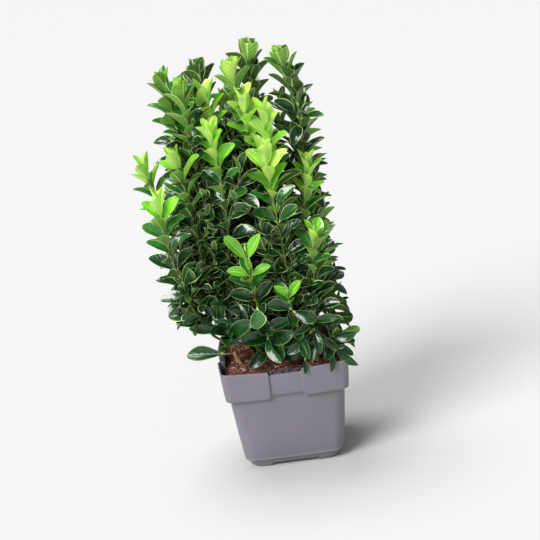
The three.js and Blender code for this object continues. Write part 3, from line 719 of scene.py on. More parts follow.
class EuonymusStageSettings(bpy.types.PropertyGroup):
    """Floor, lights and camera."""

    floor: colour_property("Floor", "Pale floor and backdrop", 203, 203, 203)
    world_strength: share_property("World strength", "Strength of the pale surroundings", 0.27)
    key_strength: share_property("Key strength", "Strength of the soft key light", 3.5)
    key_angle: angle_property("Key size", "How wide the key light looks from the plant", 32)
    top_strength: share_property("Top strength", "Strength of the soft top light", 1.9)
    top_angle: angle_property("Top size", "How wide the top light looks from the plant", 30)
    fill_strength: share_property("Fill strength", "Strength of the fill light from the front", 0.4)
    fill_angle: angle_property("Fill size", "How wide the fill light looks from the plant", 60)
    camera_elevation: angle_property("Camera elevation", "How far the camera looks down", 16)
    camera_roll: angle_property("Camera roll", "How far the picture is turned", 7.4)
    camera_distance: length_property("Camera distance", "Distance from the camera to what it aims at", 1.0)
    camera_lens: FloatProperty(name="Lens", description="Focal length", default=93.7, unit="CAMERA")
    aim: FloatVectorProperty(
        name="Aim",
        description="What the camera aims at",
        default=(-0.001, 0, 0.1357),
        subtype="XYZ",
        unit="LENGTH",
    )


class EuonymusSettings(bpy.types.PropertyGroup):
    """All the settings of the potted euonymus."""

    pot: PointerProperty(name="Pot", description="Sizes of the pot", type=EuonymusPotSettings)
    soil: PointerProperty(name="Soil", description="Sizes of the soil", type=EuonymusSoilSettings)
    wood: PointerProperty(name="Wood", description="Sizes of stems and twigs", type=EuonymusWoodSettings)
    leaf: PointerProperty(name="Leaves", description="Sizes of the leaves", type=EuonymusLeafSettings)
    stage: PointerProperty(name="Stage", description="Floor, lights and camera", type=EuonymusStageSettings)


# Materials


def new_material(name):
    """A material with its node tree, its shader and a helper that adds linked nodes."""
    material = bpy.data.materials.new(name)
    material.use_nodes = True
    tree = material.node_tree
    shader = tree.nodes["Principled BSDF"]

    def add(kind, **inputs):
        """A node whose inputs are linked to other nodes or set."""
        node = tree.nodes.new(kind)
        for key, value in inputs.items():
            socket = node.inputs[key.replace("_", " ")]
            if isinstance(value, bpy.types.NodeSocket):
                tree.links.new(value, socket)
            else:
                socket.default_value = value
        return node

    return material, tree, shader, add


def noise_factor(add, place, scale, detail):
    """Noise over a place, from 0 to 1."""
    return add("ShaderNodeTexNoise", Vector=place, Scale=scale, Detail=detail).outputs["Fac"]


def mixed_colour(tree, factor, low, high):
    """A colour that runs from low to high with a factor."""
    ramp = tree.nodes.new("ShaderNodeValToRGB")
    for element, position, colour in zip(ramp.color_ramp.elements, RAMP_ENDS, (low, high)):
        element.position = position
        element.color = (*colour, 1)
    tree.links.new(factor, ramp.inputs["Fac"])
    return ramp.outputs["Color"]


def roughen(tree, shader, add, height, strength, depth):
    """Gives a shader a bump."""
    relief = add("ShaderNodeBump", Height=height, Strength=strength, Distance=depth)
    tree.links.new(relief.outputs["Normal"], shader.inputs["Normal"])


def shaded(colour, share):
    """A colour made darker or paler."""
    return tuple(min(1.0, part * share) for part in colour)


def tints(colour, shares):
    """A colour made darker or paler by each of several shares."""
    return [shaded(colour, share) for share in shares]


def mottled_material(name, low, high, scale, roughness, bump, bump_scale, stretch=(1, 1, 1)):
    """A material whose colour wanders between two close colours, with a fine bump."""
    material, tree, shader, add = new_material(name)
    place = add("ShaderNodeTexCoord").outputs["Object"]
    place = add("ShaderNodeMapping", Vector=place, Scale=stretch).outputs["Vector"]
    colour = mixed_colour(tree, noise_factor(add, place, scale, CLOUD_DETAIL), low, high)
    tree.links.new(colour, shader.inputs["Base Color"])
    grain = noise_factor(add, place, bump_scale, GRAIN_DETAIL)
    roughen(tree, shader, add, grain, bump, GRAIN_DEPTH)
    shader.inputs["Roughness"].default_value = roughness
    return material


def plastic_material(name, colour, scuff):
    """Moulded plastic with a fine grain, clouds of handling wear, small pale scuffs and specks of dust."""
    material, tree, shader, add = new_material(name)
    place = add("ShaderNodeTexCoord").outputs["Object"]
    wear = noise_factor(add, place, WEAR_SCALE, GRAIN_DETAIL)
    plain = mixed_colour(tree, wear, *tints(colour, WEAR_TINTS))
    worn = add("ShaderNodeMapRange", Value=noise_factor(add, place, FLECK_SCALE, FLECK_DETAIL))
    worn.inputs["From Min"].default_value = FLECK_START
    worn.inputs["From Max"].default_value = FLECK_FULL
    worn.inputs["To Max"].default_value = FLECK_STRENGTH
    blend = tree.nodes.new("ShaderNodeMixRGB")
    tree.links.new(worn.outputs["Result"], blend.inputs["Fac"])
    tree.links.new(plain, blend.inputs["Color1"])
    blend.inputs["Color2"].default_value = (*scuff, 1)
    tree.links.new(blend.outputs["Color"], shader.inputs["Base Color"])
    dull = add("ShaderNodeMapRange", Value=wear)
    dull.inputs["To Min"].default_value = PLASTIC_ROUGHNESS[0]
    dull.inputs["To Max"].default_value = PLASTIC_ROUGHNESS[1]
    tree.links.new(dull.outputs["Result"], shader.inputs["Roughness"])
    grain = noise_factor(add, place, GRAIN_SCALE, GRAIN_DETAIL)
    roughen(tree, shader, add, grain, GRAIN_BUMP, GRAIN_DEPTH)
    return material


def leaf_material(name, colour, roughness, coat, veins, glow):
    """A leaf's face: a waxy green that wanders a little, with veins that slant from the midrib.

    Light that falls on one side of a young leaf glows through to the other.
    """
    material, tree, shader, add = new_material(name)
    place = add("ShaderNodeTexCoord")
    cloud = noise_factor(add, place.outputs["Object"], LEAF_CLOUDS, LEAF_CLOUD_DETAIL)
    wander = mixed_colour(tree, cloud, *tints(colour, LEAF_TINTS))
    tree.links.new(wander, shader.inputs["Base Color"])
    across = add("ShaderNodeSeparateXYZ", Vector=place.outputs["UV"])
    slant = add("ShaderNodeMath")
    slant.operation = "MULTIPLY_ADD"
    tree.links.new(across.outputs["X"], slant.inputs[0])
    slant.inputs[1].default_value = VEIN_SLANT
    tree.links.new(across.outputs["Y"], slant.inputs[2])
    bands = add("ShaderNodeMath")
    bands.operation = "MULTIPLY"
    tree.links.new(slant.outputs[0], bands.inputs[0])
    bands.inputs[1].default_value = VEIN_BANDS
    wave = add("ShaderNodeMath")
    wave.operation = "SINE"
    tree.links.new(bands.outputs[0], wave.inputs[0])
    roughen(tree, shader, add, wave.outputs[0], veins, VEIN_DEPTH)
    shader.inputs["Roughness"].default_value = roughness
    shader.inputs["Specular IOR Level"].default_value = LEAF_SPECULAR
    shader.inputs["Coat Weight"].default_value = coat
    shader.inputs["Coat Roughness"].default_value = WAX_ROUGHNESS
    shader.inputs["Coat IOR"].default_value = WAX_INDEX
    shader.inputs["Subsurface Weight"].default_value = glow
    shader.inputs["Subsurface Radius"].default_value = GLOW_RADIUS
    shader.inputs["Subsurface Scale"].default_value = GLOW_SCALE
    return material


# Meshes from arrays


def mesh_object(name, points, faces, materials, face_material=None, uv=None):
    """A smooth mesh piece from arrays of points, quads or triangles, and each face's material."""
    mesh = bpy.data.meshes.new(name)
    points = np.asarray(points, np.float32)
    faces = np.asarray(faces, np.int32)
    count, corners = faces.shape
    mesh.vertices.add(len(points))
    mesh.vertices.foreach_set("co", points.ravel())
    mesh.loops.add(count * corners)
    mesh.loops.foreach_set("vertex_index", faces.ravel())
    mesh.polygons.add(count)
    mesh.polygons.foreach_set("loop_start", np.arange(0, count * corners, corners, dtype=np.int32))
    mesh.polygons.foreach_set("use_smooth", np.ones(count, bool))
    for material in materials:
        mesh.materials.append(material)
    if face_material is not None:
        mesh.polygons.foreach_set("material_index", np.asarray(face_material, np.int32))
    if uv is not None:
        layer = mesh.uv_layers.new(name="UVMap")
        layer.data.foreach_set("uv", np.asarray(uv, np.float32)[faces.ravel()].ravel())
    mesh.update(calc_edges=True)
    if mesh.validate(verbose=False):
        raise RuntimeError(f"{name} has faces that Blender had to mend")
    piece = bpy.data.objects.new(name, mesh)
    bpy.context.scene.collection.objects.link(piece)
    return piece


def grid_faces(rows, columns, closed=False):
    """Quads of a grid of points, row by row, closed round its columns or open."""
    strips = columns if closed else columns - 1
    down, over = np.meshgrid(np.arange(rows - 1), np.arange(strips), indexing="ij")
    a = down * columns + over
    b = down * columns + (over + 1) % columns
    return np.stack([a, b, b + columns, a + columns], -1).reshape(-1, 4)


def tube_arrays(points, side, across, radii, sides):
    """Points and quads of a tube along a line."""
    angle = np.linspace(0, 2 * np.pi, sides, endpoint=False)
    ring = side[:, None] * np.cos(angle)[None, :, None] + across[:, None] * np.sin(angle)[None, :, None]
    rings = points[:, None] + ring * np.asarray(radii)[..., None].reshape(len(points), -1, 1)
    return rings.reshape(-1, 3), grid_faces(len(points), sides, closed=True)


def joined(parts):
    """Arrays of points and faces joined into one."""
    points, faces, start = [], [], 0
    for part_points, part_faces in parts:
        points.append(part_points)
        faces.append(part_faces + start)
        start += len(part_points)
    return np.concatenate(points), np.concatenate(faces)


def unit(vectors):
    """Vectors brought to length 1."""
    vectors = np.asarray(vectors, float)
    return vectors / np.linalg.norm(vectors, axis=-1, keepdims=True)


def smooth_step(value, low, high):
    """0 below low, 1 above high, and a smooth rise between."""
    share = np.clip((value - low) / (high - low), 0, 1)
    return share * share * (3 - 2 * share)


# Growth


def stem_place(settings, stem, share):
    """The middle line and radius of a stem, from its foot on the soil (0) to its tip (1)."""
    foot, tip = STEMS[stem]
    low = np.array([*foot, settings.soil.top / MM + STEM_CLEARANCE]) * MM
    high = np.array(tip) * MM
    bent = share**STEM_BEND
    centre = low + (high - low) * np.array([bent, bent, share])
    wood = settings.wood
    straight = wood.stem_foot + (wood.stem_tip - wood.stem_foot) * share
    flare = max(0.0, 1 - share / FLARE_SHARE) ** 2
    return centre, straight + (wood.stem_flare - wood.stem_foot) * flare


class Twig:
    """The line of a twig: points, directions and frames at even steps, and its length."""

    def __init__(self, control, side=TWIG_SIDE, steps=TWIG_STEPS):
        share = np.linspace(0, 1, CURVE_POINTS)[:, None]
        rest = 1 - share
        a, b, c, d = (np.asarray(point, float) for point in control)
        fine = rest**3 * a + 3 * rest**2 * share * b + 3 * rest * share**2 * c + share**3 * d
        reach = np.concatenate([[0], np.cumsum(np.linalg.norm(np.diff(fine, axis=0), axis=1))])
        self.length = reach[-1]
        even = np.linspace(0, self.length, steps + 1)
        self.reach = even
        self.points = np.stack([np.interp(even, reach, fine[:, axis]) for axis in range(3)], 1)
        self.along = unit(np.gradient(self.points, axis=0))
        side = np.asarray(side, float)
        if abs(self.along[0] @ unit(side)) > NEARLY_ALONG:
            side = np.array([0, 0, 1.0])
        self.side = np.zeros_like(self.points)
        for step, along in enumerate(self.along):
            side = unit(side - along * (side @ along))
            self.side[step] = side
        self.across = np.cross(self.along, self.side)

    def at(self, distance):
        """Point, direction, side and across at a distance from the twig's foot."""
        share = np.clip(distance, 0, self.length)
        values = [
            np.array([np.interp(share, self.reach, table[:, axis]) for axis in range(3)])
            for table in (self.points, self.along, self.side, self.across)
        ]
        return [values[0], *(unit(value) for value in values[1:])]


def shoot_twig(settings, name):
    """The line of a shoot's twig, out of its stem's side or on from the stem's tip."""
    stem, at, tip, lean, _ = SHOOTS[name]
    centre, radius = stem_place(settings, stem, at)
    tip = np.array(tip) * MM
    outward = unit([tip[0] - centre[0], tip[1] - centre[1], 0])
    if at < 1:
        start = centre + outward * radius * SHOOT_START
        leaves = outward
    else:
        start = centre - np.array([0, 0, SHOOT_OVERLAP * MM])
        leaves = np.array([0, 0, 1.0])
    reach = np.linalg.norm(tip - start)
    sideways = np.hypot(tip[0] - start[0], tip[1] - start[1])
    pull = SHOOT_PULL * MM + SHOOT_SIDE_PULL * sideways if at < 1 else SHOOT_UP_PULL * reach
    tilt = unit([lean[0], lean[1], 1])
    return Twig((start, start + leaves * pull, tip - tilt * SHOOT_TIP_PULL * reach, tip))


def leaf_directions(along, side, across, turn, spread):
    """A leaf's direction and upper side from its twig's frame."""
    radial = side * math.cos(turn) + across * math.sin(turn)
    forward = along * math.cos(spread) + radial * math.sin(spread)
    up = along * math.sin(spread) - radial * math.cos(spread)
    return forward, up


def outward_of(point):
    """The level direction from the middle of the crown to a point."""
    return unit([point[0] - CROWN_MIDDLE[0] * MM, point[1] - CROWN_MIDDLE[1] * MM, 0])


def quarter_of(x, y):
    """The quarter of the crown that a place in millimetres lies in."""
    return f"{'back' if y > 0 else 'front'}_{'left' if x < CROWN_MIDDLE[0] else 'right'}"


def group_of(name):
    """The part of the crown that a shoot stands in."""
    x, y, _ = SHOOTS[name][2]
    height = "foot" if name.startswith("foot") else "crown"
    return f"{height}_{quarter_of(x, y)}"


def green_of(run, pair):
    """The green of a pair of leaves, counted from the tip of its shoot."""
    for green, count in GREEN_RUNS[run]:
        if pair < count:
            return green
        pair -= count
    return "dark"


def grown_to(rule, older):
    """A value that grows from pair to pair: its rule is the first, more with each, and most."""
    first, more, most = rule
    return min(most, first + more * older)


def pairs_of(leaf, length, habit, tips, size, foot, stretch, bare):
    """Pairs of leaves below a shoot's tip: distance, share of full length, and spread in degrees."""
    pairs = [(below * size * MM, share, spread) for below, share, spread in tips]
    below = pairs[-1][0] + leaf.spacing * stretch
    older = 0
    while length - below > bare:
        pairs.append((below, 1.0, grown_to(SPREADS[habit], older) + foot))
        older += 1
        below += leaf.spacing * stretch * min(leaf.widest_spacing, 1 + SPACING_GROWTH * older)
    return [pair for pair in pairs if length - pair[0] > BARE_SHARE * bare]


class Growth:
    """Everything that grows on the stems: lines of twigs, and leaves with their places and shapes."""

    def __init__(self, settings):
        self.settings = settings
        self.twigs = []
        self.leaves = []
        seed = settings.leaf.seed
        for index, name in enumerate(SHOOTS):
            self.grow_shoot(name, np.random.default_rng(seed + SHOOT_SEED_STEP * index))
        for index, stem in enumerate(STEMS):
            self.grow_sprouts(stem, np.random.default_rng(seed + SPROUT_SEED + SPROUT_SEED_STEP * index))
        for hanging in HANGING_LEAVES:
            self.grow_hanging(*hanging)

    def add_twig(self, twig, foot_radius, tip_radius, end, woody):
        """One twig, from its foot to where it ends, and the share of it that is brown."""
        self.twigs.append((twig, foot_radius, tip_radius, end, woody))

    def add_short_twig(self, twig, woody):
        """One of the thin twigs that grow on a stem or on another twig."""
        foot_radius, end_radius = (self.settings.wood.twig_tip * share for share in SHORT_RADII)
        self.add_twig(twig, foot_radius, end_radius, twig.length, woody)

    def add_pair(self, rng, twig, distance, turn, shape, age, green, group, light, lone=False, cut=1.0):
        """One pair of leaves, facing each other across its twig.

        Its shape is: spread and arch in degrees, length, and share of the usual width.
        """
        leaf = self.settings.leaf
        low = group.startswith("foot")
        spread, arch, length, wide = shape
        root, along, side, across = twig.at(distance)
        outward = outward_of(root)
        width, pointed = SHAPES[green]
        for half in (0,) if lone else (0, math.pi):
            strayed = turn + half + leaf.turn_scatter * rng.uniform(-1, 1)
            bend = math.radians(arch + rng.uniform(-ARCH_SCATTER, ARCH_SCATTER))
            opened = math.radians(spread) + leaf.spread_scatter * rng.uniform(-1, 1) - ARCH_TAKEN * bend
            sag = 0.0
            if lone:
                sag = -LONE_LIFT
            elif low:
                sag = leaf.sag * rng.uniform(*SAG_SHARES)
            long = length * (1 + leaf.length_scatter * rng.uniform(-1, 1))
            narrowed = width - NARROWING[low] * age
            point = pointed + POINTING[low] * age
            opened = max(math.radians(LEAST_SPREAD), opened)
            forward, up = leaf_directions(along, side, across, strayed, opened)
            row = {
                "root": root,
                "long": long,
                "wide": long * wide * narrowed * rng.uniform(*WIDTH_SHARES),
                "bend": bend,
                "twist": math.radians(rng.uniform(-TWIST_SCATTER, TWIST_SCATTER)) * (TWIST_NEW + age),
                "cup": (CUP_NEW - CUP_LOSS * age) * rng.uniform(*CUP_SHARES),
                "pointed": np.clip(point + rng.uniform(-POINT_SCATTER, POINT_SCATTER), 0, 1),
                "green": green,
                "tone": int(rng.integers(0, len(TONES))),
                "group": group,
                "cut": cut,
            }
            stray = math.radians(rng.uniform(-ROLL_SCATTER, ROLL_SCATTER))
            # A leaf that would touch the soil or the rim lifts, or is left out
            for lift in (-sag, -0.5 * sag, 0.0, *LIFTS):
                ahead = unit(forward + np.array([0, 0, lift]))
                level = unit(np.cross(ahead, up))
                over = np.cross(level, ahead)
                if self.clear_of_pot(root, ahead, over, long, bend, lone):
                    roll = stray - light * (outward @ level)
                    self.leaves.append({**row, "along": ahead, "up": over, "roll": roll})
                    break

    def clear_of_pot(self, root, ahead, over, long, bend, lone):
        """Whether a leaf keeps off the soil, off the pot's rim and out of the open place at the left."""
        pot, soil = self.settings.pot, self.settings.soil
        for share in TEST_PLACES:
            angle = TEST_ARCH * bend * share
            spot = root + long * share * (ahead * math.cos(angle) - over * math.sin(angle))
            reach = max(abs(spot[0]), abs(spot[1]))
            if reach < pot.rim_half - RIM_INWARDS * MM:
                lowest = soil.top + SOIL_CLEARANCE * MM
            elif reach < pot.rim_half + RIM_OUTWARDS * MM:
                lowest = pot.height + RIM_CLEARANCE * MM
            else:
                lowest = pot.height - OUTSIDE_DROP * MM
            if spot[2] < lowest:
                return False
            under_edge = spot[2] < np.interp(spot[0] / MM, *OPEN_LEFT) * MM
            if spot[0] < OPEN_LEFT[0][1] * MM and under_edge and not lone:
                return False
        return True

    def grow_shoot(self, name, rng):
        """A shoot's twig with its crossed pairs of leaves, and short side twigs low down."""
        leaf, wood = self.settings.leaf, self.settings.wood
        run = SHOOTS[name][-1]
        greens = OWN_RUNS.get(name, run)
        group = group_of(name)
        low = group.startswith("foot")
        habit = "foot" if low else run
        lone = name in LONE_LEAVES
        young = run in YOUNG_GREENS
        trimmed = name in TRIMMED
        twig = shoot_twig(self.settings, name)
        tips = OWN_TIPS.get(name, TRIMMED_PAIRS if trimmed else TIP_PAIRS[young])
        end = twig.length - (tips[0][0] if lone else TWIG_END) * MM
        self.add_twig(twig, wood.twig_foot, wood.twig_tip, end, WOODY_SHARES[low])
        long, wide = LEAF_SIZES.get(name, FOOT_SIZE if low else (1, 1))
        turn = self.first_turn(name, twig, end, rng)
        stretch = rng.uniform(*SPACING_SHARES)
        bare = BARE_FEET[name] * MM if name in BARE_FEET else leaf.bare_foot
        foot = math.degrees(leaf.foot_spread) if low else 0
        most, grown = ARCHES[habit]
        pairs = pairs_of(leaf, twig.length, habit, tips, long, foot, stretch, bare)
        for n, (below, share, spread) in enumerate(pairs):
            age = min(1.0, below / (OLD_LEAVES * MM))
            distance = min(twig.length - below, end)
            turned = turn + n * math.pi / 2
            arch = LONE_ARCH if lone else most * smooth_step(age, ARCH_START, grown)
            light = leaf.light_turn * (1 + OLD_LIGHT_TURN * age)
            slim, cut = wide, 1.0
            if n < len(tips) and not lone:
                spread += OPEN_TIPS.get(name, 0)
                if trimmed:
                    cut = TRIMMED_SHARES[n]
                else:
                    slim = wide * TIP_WIDTHS[young][n]
                if name in LIGHT_TURNS:
                    light = math.radians(LIGHT_TURNS[name])
            shape = spread, arch, leaf.length * long * share, slim
            green = green_of(greens, n)
            self.add_pair(rng, twig, distance, turned, shape, age, green, group, light, lone, cut)
            if below > SIDE_TWIGS_BELOW * MM and rng.uniform() < leaf.side_twigs:
                self.grow_side(rng, twig, distance, turned, group)

    def first_turn(self, name, twig, end, rng):
        """How far the first pair turns about its twig: it opens to the left and right, strayed a little."""
        _, _, side, across = twig.at(end)
        stray = rng.uniform(-FIRST_TURN_SCATTER, FIRST_TURN_SCATTER)
        if name in LONE_LEAVES:
            return math.atan2(-across @ LONE_FACE, -side @ LONE_FACE)
        turn = math.atan2(across[0], side[0]) - math.pi / 2
        return turn if name in LIGHT_TURNS else turn + stray

    def grow_side(self, rng, parent, distance, turn, group):
        """A short side twig in a leaf's axil, with a few smaller pairs of leaves."""
        point, along, side, across = parent.at(distance)
        inward = -outward_of(point)
        spread = math.radians(SIDE_SPREAD)
        ways = [leaf_directions(along, side, across, turn + half, spread)[0] for half in (0, math.pi)]
        forward = max(ways, key=lambda way: way @ inward)
        long = rng.uniform(*SIDE_LENGTHS) * MM
        lift = np.array([0, 0, SIDE_LIFT * long])
        tip = point + forward * long + lift
        control = point, point + forward * SIDE_PULL * long, tip - lift, tip
        self.leafy_tip(rng, Twig(control, side=across, steps=SHORT_STEPS), group, 0.0)

    def grow_sprouts(self, stem, rng):
        """Short leafy sprouts all round a woody stem."""
        count = self.settings.leaf.sprouts
        young_across, young_front, young_half = (value * MM for value in YOUNG_FOOT)
        for n in range(count):
            share = SPROUT_LOWEST + (1 - SPROUT_LOWEST) * n / max(1, count - 1)
            centre, _ = stem_place(self.settings, stem, share)
            turn = math.radians(SPROUT_TURN) * n + rng.uniform(-SPROUT_TURN_SCATTER, SPROUT_TURN_SCATTER)
            outward = np.array([math.cos(turn), math.sin(turn), SPROUT_RISE])
            long = rng.uniform(*SPROUT_LENGTHS) * MM
            lift = np.array([0, 0, SPROUT_LIFT * long])
            tip = centre + outward * SPROUT_REACH * long + lift
            before_young = abs(tip[0] - young_across) < young_half and tip[1] < young_front
            if tip[0] > SPROUT_RIGHT * MM or before_young:
                continue
            control = centre, centre + outward * SPROUT_PULL * long, tip - SPROUT_TIP_PULL * lift, tip
            group = f"foot_{quarter_of(tip[0] / MM, tip[1] / MM)}"
            self.leafy_tip(rng, Twig(control, steps=SPROUT_STEPS), group, SPROUT_WOODY)

    def grow_hanging(self, name, share, start, end, wide, pointed, green, tone):
        """A short twig with one leaf that hangs down from its end."""
        parent = shoot_twig(self.settings, name)
        point, along, _, _ = parent.at(share * parent.length)
        start, end = np.array(start) * MM, np.array(end) * MM
        control = point, point + along * HANGING_PULL * MM, start + np.array(HANGING_END) * MM, start
        self.add_short_twig(Twig(control, steps=SHORT_STEPS), HANGING_WOODY)
        long = np.linalg.norm(end - start)
        ahead = unit(end - start)
        front = np.array(HANGING_FACE)
        row = {
            "root": start,
            "along": ahead,
            "up": unit(front - ahead * (front @ ahead)),
            "roll": 0.0,
            "long": long,
            "wide": wide * long,
            "bend": math.radians(HANGING_ARCH),
            "twist": 0.0,
            "cup": HANGING_CUP,
            "pointed": pointed,
            "green": green,
            "tone": tone,
            "group": group_of(name),
            "cut": 1.0,
        }
        self.leaves.append(row)

    def leafy_tip(self, rng, twig, group, woody):
        """Pairs of leaves on a short twig, smaller towards its tip."""
        leaf = self.settings.leaf
        self.add_short_twig(twig, woody)
        start = rng.uniform(0, 2 * math.pi)
        for n in range(max(SHORT_PAIRS, int(twig.length / (SHORT_SPACING * MM)))):
            distance = twig.length - n * SHORT_SPACING * MM
            turn = start + n * math.pi / 2
            size = leaf.length * grown_to(SHORT_SIZES, n)
            shape = grown_to(SHORT_SPREADS, n), grown_to(SHORT_ARCHES, n), size, SHORT_WIDTH
            age = SHORT_AGE + SHORT_AGING * n
            # Leaves of side twigs and sprouts all take the dark green of old leaves, which also paints the
            # shade inside the crown
            self.add_pair(rng, twig, distance, turn, shape, age, "dark", group, leaf.light_turn)


# Leaves


def leaf_outline(u, pointed, cut):
    """The width along leaves as a share of their widest, from a narrow stalk to a blunt or pointed tip."""
    grown = np.clip((u - STALK_SHARE) / (1 - STALK_SHARE), 0, 1)
    full = BLUNT_POWER - BLUNT_FULLNESS * grown
    blunt = np.sin(np.pi * np.minimum(grown**BLUNT_LEAN, ALMOST_ONE)) ** full
    acute = np.sin(np.pi * np.minimum(grown**POINTED_LEAN, ALMOST_ONE)) ** POINTED_POWER
    outline = np.maximum(blunt * (1 - pointed) + acute * pointed, STALK_WIDTH)
    outline[:, -1] = np.where(cut[:, 0] < 1, outline[:, -1], TIP_WIDTH)
    return outline


def leaf_mesh():
    """What all leaves share: one leaf's faces, each face's part, and its points' places on the blade."""
    stations = len(LEAF_STATIONS)
    top = grid_faces(stations, len(UPPER_COLUMNS))
    low = grid_faces(stations, len(UNDER_COLUMNS))[:, ::-1] + stations * len(UPPER_COLUMNS)
    strips = [np.tile(parts, (stations - 1, 1)) for parts in (UPPER_PARTS, UNDER_PARTS)]
    for strip in strips:
        strip[:STALK_ROWS] = STALK
    places = [
        np.stack(np.meshgrid(LEAF_STATIONS, np.abs(columns), indexing="ij")[::-1], -1).reshape(-1, 2)
        for columns in (UPPER_COLUMNS, UNDER_COLUMNS)
    ]
    return np.concatenate([top, low]), np.concatenate(strips, axis=None), np.concatenate(places)


def leaf_arrays(leaf, rows):
    """Many leaves at once: points, faces, each face's part and places on the blade."""
    count = len(rows)
    root, along, up = (np.array([row[key] for row in rows]) for key in ("root", "along", "up"))
    keys = ("long", "wide", "bend", "roll", "twist", "cup", "pointed", "cut")
    values = (np.array([row[key] for row in rows])[:, None] for key in keys)
    long, wide, bend, roll, twist, cup, pointed, cut = values
    u = LEAF_STATIONS[None, :] * cut
    outline = leaf_outline(u, pointed, cut)
    half = 0.5 * wide * outline
    # The midrib arches away from the leaf's own direction by its bend
    angle = bend * u**ARCH_POWER + TIP_CURL * u**TIP_CURL_POWER
    step = np.diff(u, axis=1, prepend=0) * long
    forward = np.cumsum(np.cos(angle) * step, 1)
    down = np.cumsum(np.sin(angle) * step, 1)
    spine = root[:, None] + along[:, None] * forward[..., None] - up[:, None] * down[..., None]
    over = up[:, None] * np.cos(angle)[..., None] + along[:, None] * np.sin(angle)[..., None]
    level = np.cross(along, up)[:, None] * np.ones_like(over)
    turn = (roll * smooth_step(u, 0, ROLL_END) + twist * u)[..., None]
    side = level * np.cos(turn) + over * np.sin(turn)
    over = over * np.cos(turn) - level * np.sin(turn)

    def face(columns, sink):
        """Points of the leaves' upper or lower face, sunk below the blade's own curve."""
        v = np.abs(columns)[None, None, :]
        fold = cup * half * (1 - FOLD_LOSS * u**3)
        rise = fold[..., None] * (v**CUP_POWER - EDGE_TURN * np.clip(v - EDGE_START, 0, 1) ** 2) - sink
        apart = RIPPLE_SIDES * np.sign(columns)[None, None, :]
        ripple = np.sin(RIPPLES * u[..., None] + RIPPLE_SHIFT * twist[..., None] + apart)
        rise = rise + RIPPLE_DEPTH * half[..., None] * ripple * v**3
        points = spine[:, :, None] + side[:, :, None] * (columns[None, None, :] * half[..., None])[..., None]
        return points + over[:, :, None] * rise[..., None]

    groove = GROOVE_DEPTH * leaf.thickness * (np.abs(UPPER_COLUMNS) < GROOVE_HALF)[None, None, :]
    body = np.minimum(1, outline * BODY_GROWTH)[..., None] * (1 - np.abs(UNDER_COLUMNS)[None, None, :] ** 3)
    keel = (1 - np.abs(UNDER_COLUMNS)) ** 2 * (KEEL_END - LEAF_STATIONS)[:, None]
    # The two faces meet at the leaf's end
    closing = (LEAF_STATIONS < 1)[None, :, None]
    upper = face(UPPER_COLUMNS, groove)
    under = face(UNDER_COLUMNS, leaf.thickness * (body + KEEL_DEPTH * keel[None]) * closing)
    points = np.concatenate([upper.reshape(count, -1, 3), under.reshape(count, -1, 3)], 1)
    one, part, places = leaf_mesh()
    faces = (one[None] + points.shape[1] * np.arange(count)[:, None, None]).reshape(-1, 4)
    return points.reshape(-1, 3), faces, np.tile(part, count), np.tile(places, (count, 1))


# Operators


